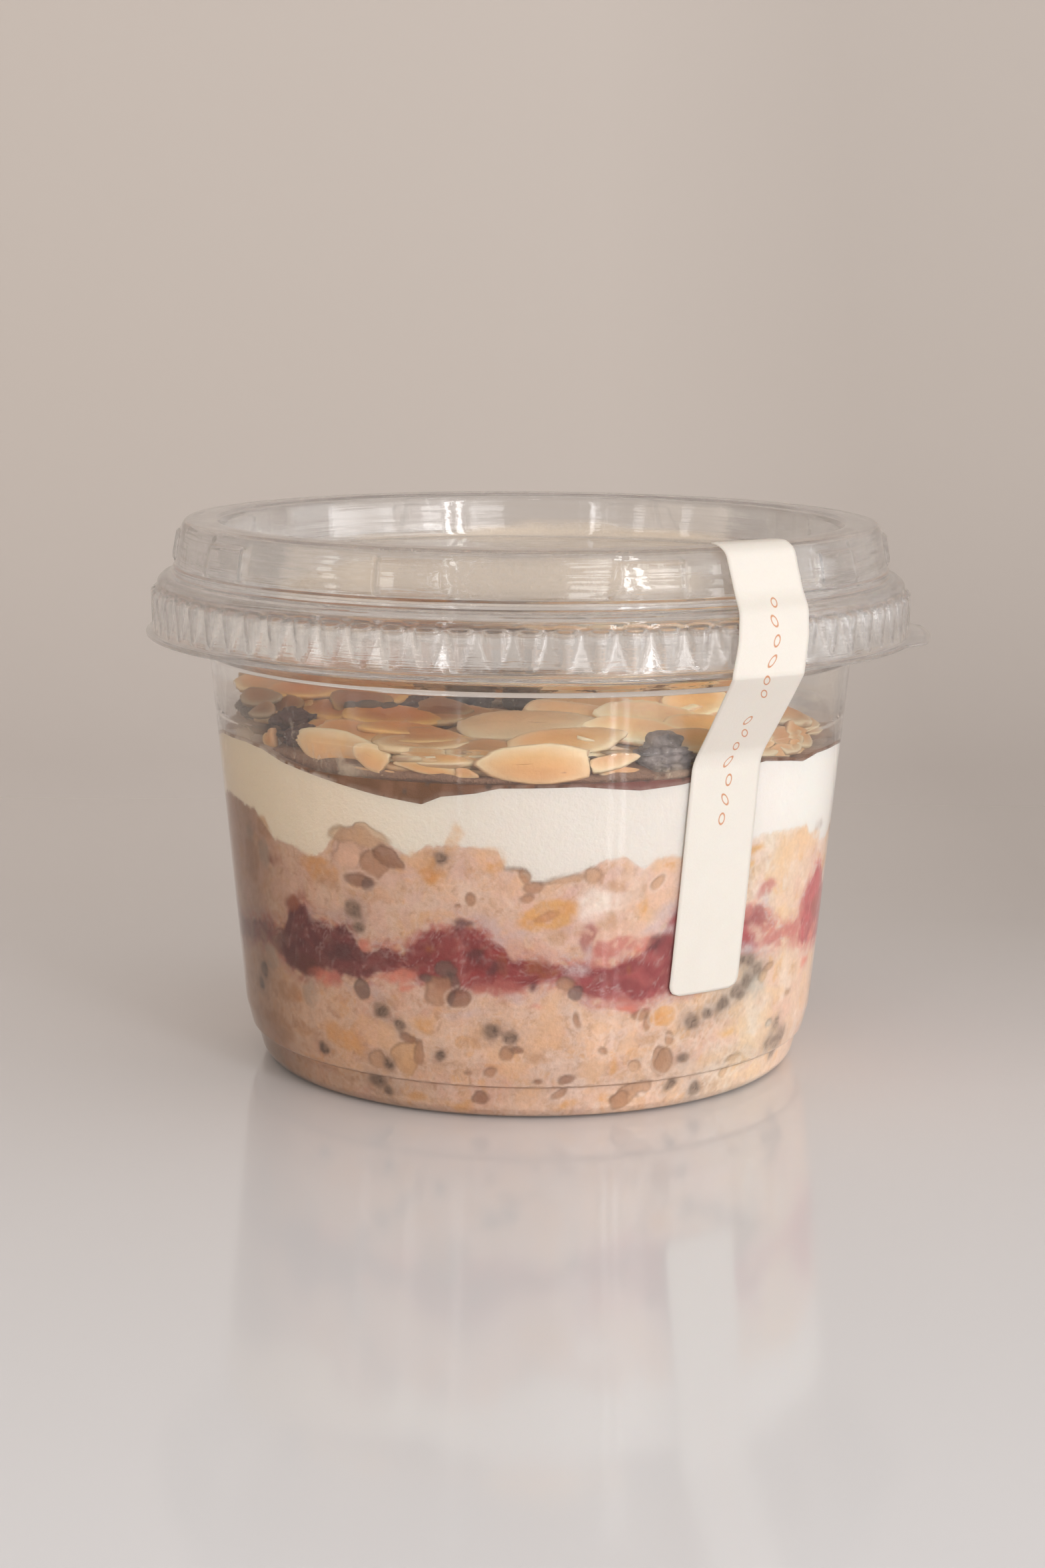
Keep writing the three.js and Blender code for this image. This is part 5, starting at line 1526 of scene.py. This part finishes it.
# Dried fruit: node, middle, half sizes, turn about the vertical, seed of its wrinkles, and the
# direction and size of a lobe.
FRUIT = [
    ("blueberry_front", (16.2, -34.5, 46.1), (4.1, 3.1, 1.9), 12, 3, (0.2, 0.75, 0.9), 0.8),
    ("raisin_left_front", (-28.6, -24.6, 46.6), (2.6, 1.9, 1.5), 50, 5, (0.5, 0, 0.8), 0.3),
    ("raisin_left", (-30.4, -16.4, 47.4), (3.2, 2.2, 1.7), 20, 7, (1, 0.3, 0), 0.4),
    ("blueberry_left", (-36.0, -5.8, 47.6), (2.9, 2.5, 1.9), 70, 11, (0, 1, 0), 0.2),
    ("blueberry_middle_left", (-8.3, 2.2, 48.0), (3.4, 2.9, 2.4), 10, 13, (1, 0, 0.4), 0.3),
    ("blueberry_middle_right", (-1.3, 4.0, 48.1), (3.3, 2.8, 2.4), 60, 17, (0.4, 1, 0), 0.3),
    ("raisin_middle", (-15.6, -3.2, 47.9), (2.8, 2.0, 1.8), 35, 19, (1, 0, 0), 0.4),
    ("raisin_middle_front", (-11.6, -12.0, 48.0), (3.4, 2.1, 1.8), 10, 23, (-1, 0.2, 0), 0.5),
    ("raisin_right", (23.4, 13.2, 47.5), (3.0, 2.1, 1.8), 75, 29, (0, 1, 0), 0.3),
]


def fruit_mesh(name, middle, half, turn, seed, lobe_way, lobe):
    """A shrivelled berry: an ellipsoid with a lobe, drawn in along creases over its surface."""
    unit = unit_ball(41, 64)
    folds = np.abs(cloud(unit, 0.55, seed, 2) - 0.5) * 2
    creases = np.exp(-((folds / 0.14) ** 2))
    fine = np.exp(-(((cloud(unit, 0.3, seed + 2, 2) - 0.5) / 0.06) ** 2))
    way = np.array(lobe_way) / np.linalg.norm(lobe_way)
    swell = 1 + 0.3 * (cloud(unit, 0.9, seed + 1, 1) - 0.5) - 0.2 * creases - 0.06 * fine
    swell = swell + lobe * np.exp(-((1 - unit @ way) / 0.14) ** 2)
    points = unit * swell[..., None] * np.array(half)
    c, s = math.cos(math.radians(turn)), math.sin(math.radians(turn))
    points = points @ np.array([[c, s, 0], [-s, c, 0], [0, 0, 1]]) + np.array(middle)
    points[0], points[-1] = points[0].mean(axis=0), points[-1].mean(axis=0)
    reach = np.hypot(points[..., 0], points[..., 1])
    inside = wall_radius(points[..., 2]) - WALL_T - 0.12
    points[..., :2] *= np.minimum(inside / np.maximum(reach, 1e-6), 1)[..., None]
    made, faces, _ = revolved(points)
    return mesh_of(name, made, faces)


def dried_fruit():
    """The berries and raisins, the front berry with a thick bloom."""
    dusty = dark_fruit("dusty_blueberry", tone(106, 95, 92), tone(176, 164, 156), 0.8)
    blue = dark_fruit("dried_blueberry", tone(48, 34, 31), tone(92, 72, 64), 0.45)
    brown = dark_fruit("raisin_skin", tone(58, 27, 19), tone(104, 63, 46), 0.35)
    for node, *shape in FRUIT:
        berry = node.startswith("blueberry")
        mesh = fruit_mesh(node + "_skin", *shape)
        finish = dusty if node == "blueberry_front" else blue if berry else brown
        show(mesh, finish, "blueberry" if berry else "raisin", node)


# Mist and smears on the inside of the plastic.


def veil(name, points, share, tint, glancing=0.0, around=False):
    """A thin sheet. A painted share, 0 to 1, is how much of it shows, and a second one is how
    much more shows where the sheet is seen edge on. A sheet that goes all the way round starts
    from one point in the middle."""
    rows, columns = points.shape[:2]
    paint = np.stack(np.broadcast_arrays(share, glancing, 0.0), axis=-1).reshape(-1, 3)
    points = points.reshape(-1, 3)
    faces = [grid_quads(rows, columns, around)]
    if around:
        here = np.arange(columns)
        middle = np.full(columns, rows * columns)
        faces.append(np.stack([(here + 1) % columns, here, middle], axis=-1))
        points = np.concatenate([points, points[:columns].mean(axis=0, keepdims=True)])
        paint = np.concatenate([paint, paint[:columns].mean(axis=0, keepdims=True)])
    mesh = mesh_of(name, points, faces, paint)
    recipe = Recipe(name)
    always, more, _ = recipe.parts(recipe.paint())
    weight = recipe.node("ShaderNodeLayerWeight", None, {"Blend": 0.5})
    shown = always + more * Socket(recipe, weight.outputs["Facing"])
    drops = recipe.grain(0.35, 3.0, 0.7)
    return show(mesh, recipe.finish(recipe.principled({
        "Base Color": (*tint, 1.0),
        "Roughness": 0.7,
        "Alpha": (shown * (0.7 + 0.6 * drops)).held(),
    })), None)


def wall_mist():
    """A breath of mist inside the wall at the left, above the yoghurt, with white smears."""
    azimuth = np.linspace(-70, 72, 720)[None, :]
    height = np.linspace(43.0, 55.6, 130)[:, None]
    points = polar(azimuth, wall_radius(height) - WALL_T - 0.05, height)

    def blot(at, up, wide, tall):
        """A soft oval, 1 in its middle."""
        return np.exp(-(((azimuth - at) / wide) ** 2) - ((height - up) / tall) ** 2)

    broad, fine = cloud(points, 5.0, 81, 3), cloud(points, 1.2, 82, 3)
    tall = cloud(points * np.array([1, 1, 0.35]), 0.9, 83, 3)
    hairs = np.exp(-(((tall - 0.5) / 0.02) ** 2))
    share = 0.03 * smooth((broad - 0.35) / 0.3) * smooth((-azimuth - 8) / 26)
    share = share + 0.55 * blot(-33, 44.6, 3.6, 2.3) * smooth((fine - 0.3) / 0.3)
    share = share + 0.2 * blot(-49, 54, 5, 1.6)
    share = share + 0.55 * blot(-60, 45.6, 8, 2.6) * smooth((broad - 0.3) / 0.3)
    share = share + 0.6 * hairs * blot(-45.5, 47.8, 2.4, 3.2) + 0.5 * hairs * blot(-40, 45.0, 3.0, 1.6)
    share = share + 0.45 * hairs * blot(24, 44.2, 2.6, 1.3)
    share = share + 0.3 * blot(24.5, 44.6, 3.4, 1.2) * smooth((fine - 0.4) / 0.2)
    share = share + 0.16 * smooth((azimuth - 56) / 8) * smooth((broad - 0.25) / 0.3)
    gone = smooth((azimuth + 70) / 6) * smooth((72 - azimuth) / 5) * smooth((55.6 - height) / 0.6)
    veil("wall_mist", points, np.clip(share * gone, 0, 0.85), tone(203, 182, 157))


def lid_mist():
    """Mist under the middle panel of the lid and up the outer side of its rising wall, with a
    wavy upper edge."""
    azimuth = np.arange(0, 360, 2)[None, :]
    along = np.linspace(0.02, 1.1, 60)[:, None]
    rise = np.clip(along - 1, 0, 1) / 0.1
    out = np.minimum(along, 1) * (RECESS_R - 0.2) + np.minimum(4 * rise, 1) + 0.55 * rise
    points = polar(azimuth, out, RECESS_Z - LID_T - 0.06 + 5.0 * rise)
    wave = 0.25 * (cloud(polar(azimuth, 38 + 0 * along, 0 * along), 7.0, 84, 2) - 0.5)
    front = np.exp(-((apart(azimuth, -2) / 38) ** 4))
    edge = 0.05 + 0.46 * np.exp(-((apart(azimuth, 168) / 28) ** 2)) + 1.1 * front + wave
    on_panel = rise == 0
    inside = np.where(on_panel, 1.0, smooth((edge - rise) / 0.2 + 0.5))
    amount = 0.66 + 0.3 * (cloud(points, 7.0, 85, 3) - 0.5)
    amount = amount * inside * np.where(on_panel, 0.3, 1 - 0.5 * front)
    glancing = np.where(on_panel, 2.7 * amount, 0.0)
    veil("lid_mist", points, amount, tone(222, 204, 182), glancing, around=True)


# The stage.


def area_light(name, azimuth, elevation, distance, width, height, watts, colour):
    """A soft rectangular light at a place round the cup, facing the middle of it."""
    data = bpy.data.lights.new(name, "AREA")
    data.shape, data.size, data.size_y = "RECTANGLE", width, height
    data.energy, data.color = watts, colour
    light = bpy.data.objects.new(name, data)
    bpy.context.scene.collection.objects.link(light)
    a, e = math.radians(azimuth), math.radians(elevation)
    away = np.array([math.sin(a) * math.cos(e), -math.cos(a) * math.cos(e), math.sin(e)])
    right = np.array([math.cos(a), math.sin(a), 0])
    up = np.cross(away, right)
    place = away * distance + np.array([0, 0, 0.04])
    turn = np.stack([right, up, away, place], axis=1)
    light.matrix_world = Matrix(np.concatenate([turn, [[0, 0, 0, 1]]]).tolist())


def backdrop():
    """A pale glossy table that curves up into a warm grey wall behind. The table is whiter at the
    front and darker towards the back, as painted shade, with a painted shadow to the right behind
    the cup.
    """
    bend_at, bend = 0.22, 0.30
    angle = np.linspace(0, math.pi / 2, 24)
    flat = [(y, 0.0) for y in (-1.4, -0.6, -0.2, 0.1)]
    curve = [(bend_at + bend * math.sin(a), bend * (1 - math.cos(a))) for a in angle]
    rise = [(bend_at + bend, z) for z in (0.6, 1.2, 2.2)]
    line = np.array([*flat, *curve, *rise])
    across = np.linspace(-1.6, 1.6, 9)
    points = np.stack(np.broadcast_arrays(across[None, :], line[:, :1], line[:, 1:]), axis=-1)
    faces = [grid_quads(*points.shape[:2], around=False)]
    mesh = mesh_of("table_and_wall", points.reshape(-1, 3) / MM, faces)
    recipe = Recipe("table_and_wall")
    to_right, depth, _ = recipe.parts(recipe.place())
    far = depth.between(0.05, 0.42)
    # Painted shade: the table is whiter at the front and darker towards the back.
    colour = recipe.mixed(tone(240, 241, 244), tone(215, 210, 208), depth.between(-0.16, 0.1))
    colour = recipe.mixed(colour, tone(212, 203, 196), far)
    # A painted shadow on the table to the right behind the cup.
    painted_shadow = to_right.between(0.02, 0.09) * depth.between(-0.02, 0.08)
    painted_shadow = painted_shadow * (1 - 0.55 * depth.between(0.12, 0.4))
    colour = recipe.mixed(colour, tone(150, 141, 134), painted_shadow * 0.42)
    soft = recipe.grain(60.0, 2.0)
    mesh.materials.append(recipe.finish(recipe.principled({
        "Base Color": colour,
        "Roughness": 0.085 + 0.02 * soft + 0.5 * far,
        "Specular IOR Level": 0.5,
    })))
    floor = bpy.data.objects.new("table_and_wall", mesh)
    bpy.context.scene.collection.objects.link(floor)


def camera():
    """A pinhole camera at the height, distance and turns of the photograph."""
    distance, height = 0.376954, 0.104534
    yaw, pitch, roll = -0.00243473, 0.1790126, 0.00706159
    level_x = np.array([math.cos(yaw), -math.sin(yaw), 0])
    level_y = np.array([math.sin(yaw), math.cos(yaw), 0])
    up = np.array([0, 0, 1.0])
    forward = math.cos(pitch) * level_y - math.sin(pitch) * up
    rise = math.sin(pitch) * level_y + math.cos(pitch) * up
    right = math.cos(roll) * level_x + math.sin(roll) * rise
    top = -math.sin(roll) * level_x + math.cos(roll) * rise
    data = bpy.data.cameras.new("camera")
    data.sensor_fit, data.sensor_height, data.lens = "VERTICAL", 36.0, 65.12
    data.clip_start = 0.01
    made = bpy.data.objects.new("camera", data)
    place = np.array([0, -distance, height])
    turn = np.stack([right, top, -forward, place], axis=1)
    made.matrix_world = Matrix(np.concatenate([turn, [[0, 0, 0, 1]]]).tolist())
    bpy.context.scene.collection.objects.link(made)
    bpy.context.scene.camera = made


def studio():
    """A broad soft light at the front right, narrow bright panes that show as glints in the
    plastic, and a warm dim room."""
    daylight = (0.985, 0.985, 1.0)
    area_light("broad_window", 41, 20, 1.15, 0.9, 0.9, 1.9, daylight)
    area_light("side_window", 92, 16, 1.15, 0.7, 0.9, 1.4, daylight)
    for name, azimuth, width, watts in [
        ("low_pane_side", 72, 0.6, 1.6), ("low_pane_middle", 41, 0.17, 0.65),
        ("low_pane_front", 18, 0.28, 0.7), ("low_pane_left_1", -26, 0.1, 0.24),
        ("low_pane_left_2", -44.5, 0.09, 0.22), ("low_pane_left_3", -65, 0.09, 0.22),
    ]:
        area_light(name, azimuth, 7, 1.15, width, 0.26, watts, daylight)
    area_light("high_pane", 12, 58, 1.2, 0.45, 0.04, 0.35, daylight)
    for number, azimuth in enumerate((29.5, 34.2)):
        area_light(f"bright_pane_{number}", azimuth, 16, 1.3, 0.045, 0.9, 1.55, daylight)
    area_light("pane_left", -25, 20, 1.3, 0.03, 0.6, 0.35, daylight)
    area_light("warm_wall", -64, 12, 1.2, 0.9, 0.9, 1.9, (1.0, 0.79, 0.56))
    world = bpy.data.worlds.new("warm_room")
    world.use_nodes = True
    ground = world.node_tree.nodes["Background"]
    ground.inputs["Color"].default_value = (0.80, 0.755, 0.715, 1)
    ground.inputs["Strength"].default_value = 0.68
    bpy.context.scene.world = world
    scene = bpy.context.scene
    scene.view_settings.view_transform = "Standard"
    scene.cycles.max_bounces = 24
    scene.cycles.transmission_bounces = 24
    scene.cycles.glossy_bounces = 16
    scene.cycles.transparent_max_bounces = 24


camera()
studio()
backdrop()
cup_plastic = clear_plastic("clear_cup_plastic", index=1.45, roughness=0.02, waviness=0.02, ridges=0.1,
                            ripples=0, clear=0.99, light_through=0.97, thin=0.06)
lid_plastic = clear_plastic("clear_lid_plastic", index=1.56, roughness=0.018, waviness=0.04, ridges=1.2,
                            ripples=5.5, clear=0.985, light_through=0.95, thin=0.28)
show(cup_piece(), cup_plastic, "clear_cup", "cup")
show(lid_piece(), lid_plastic, "clear_lid", "lid")
strip_piece()
food_layers()
heap_core()
almonds()
seeds_and_crumbs()
dried_fruit()
wall_mist()
lid_mist()
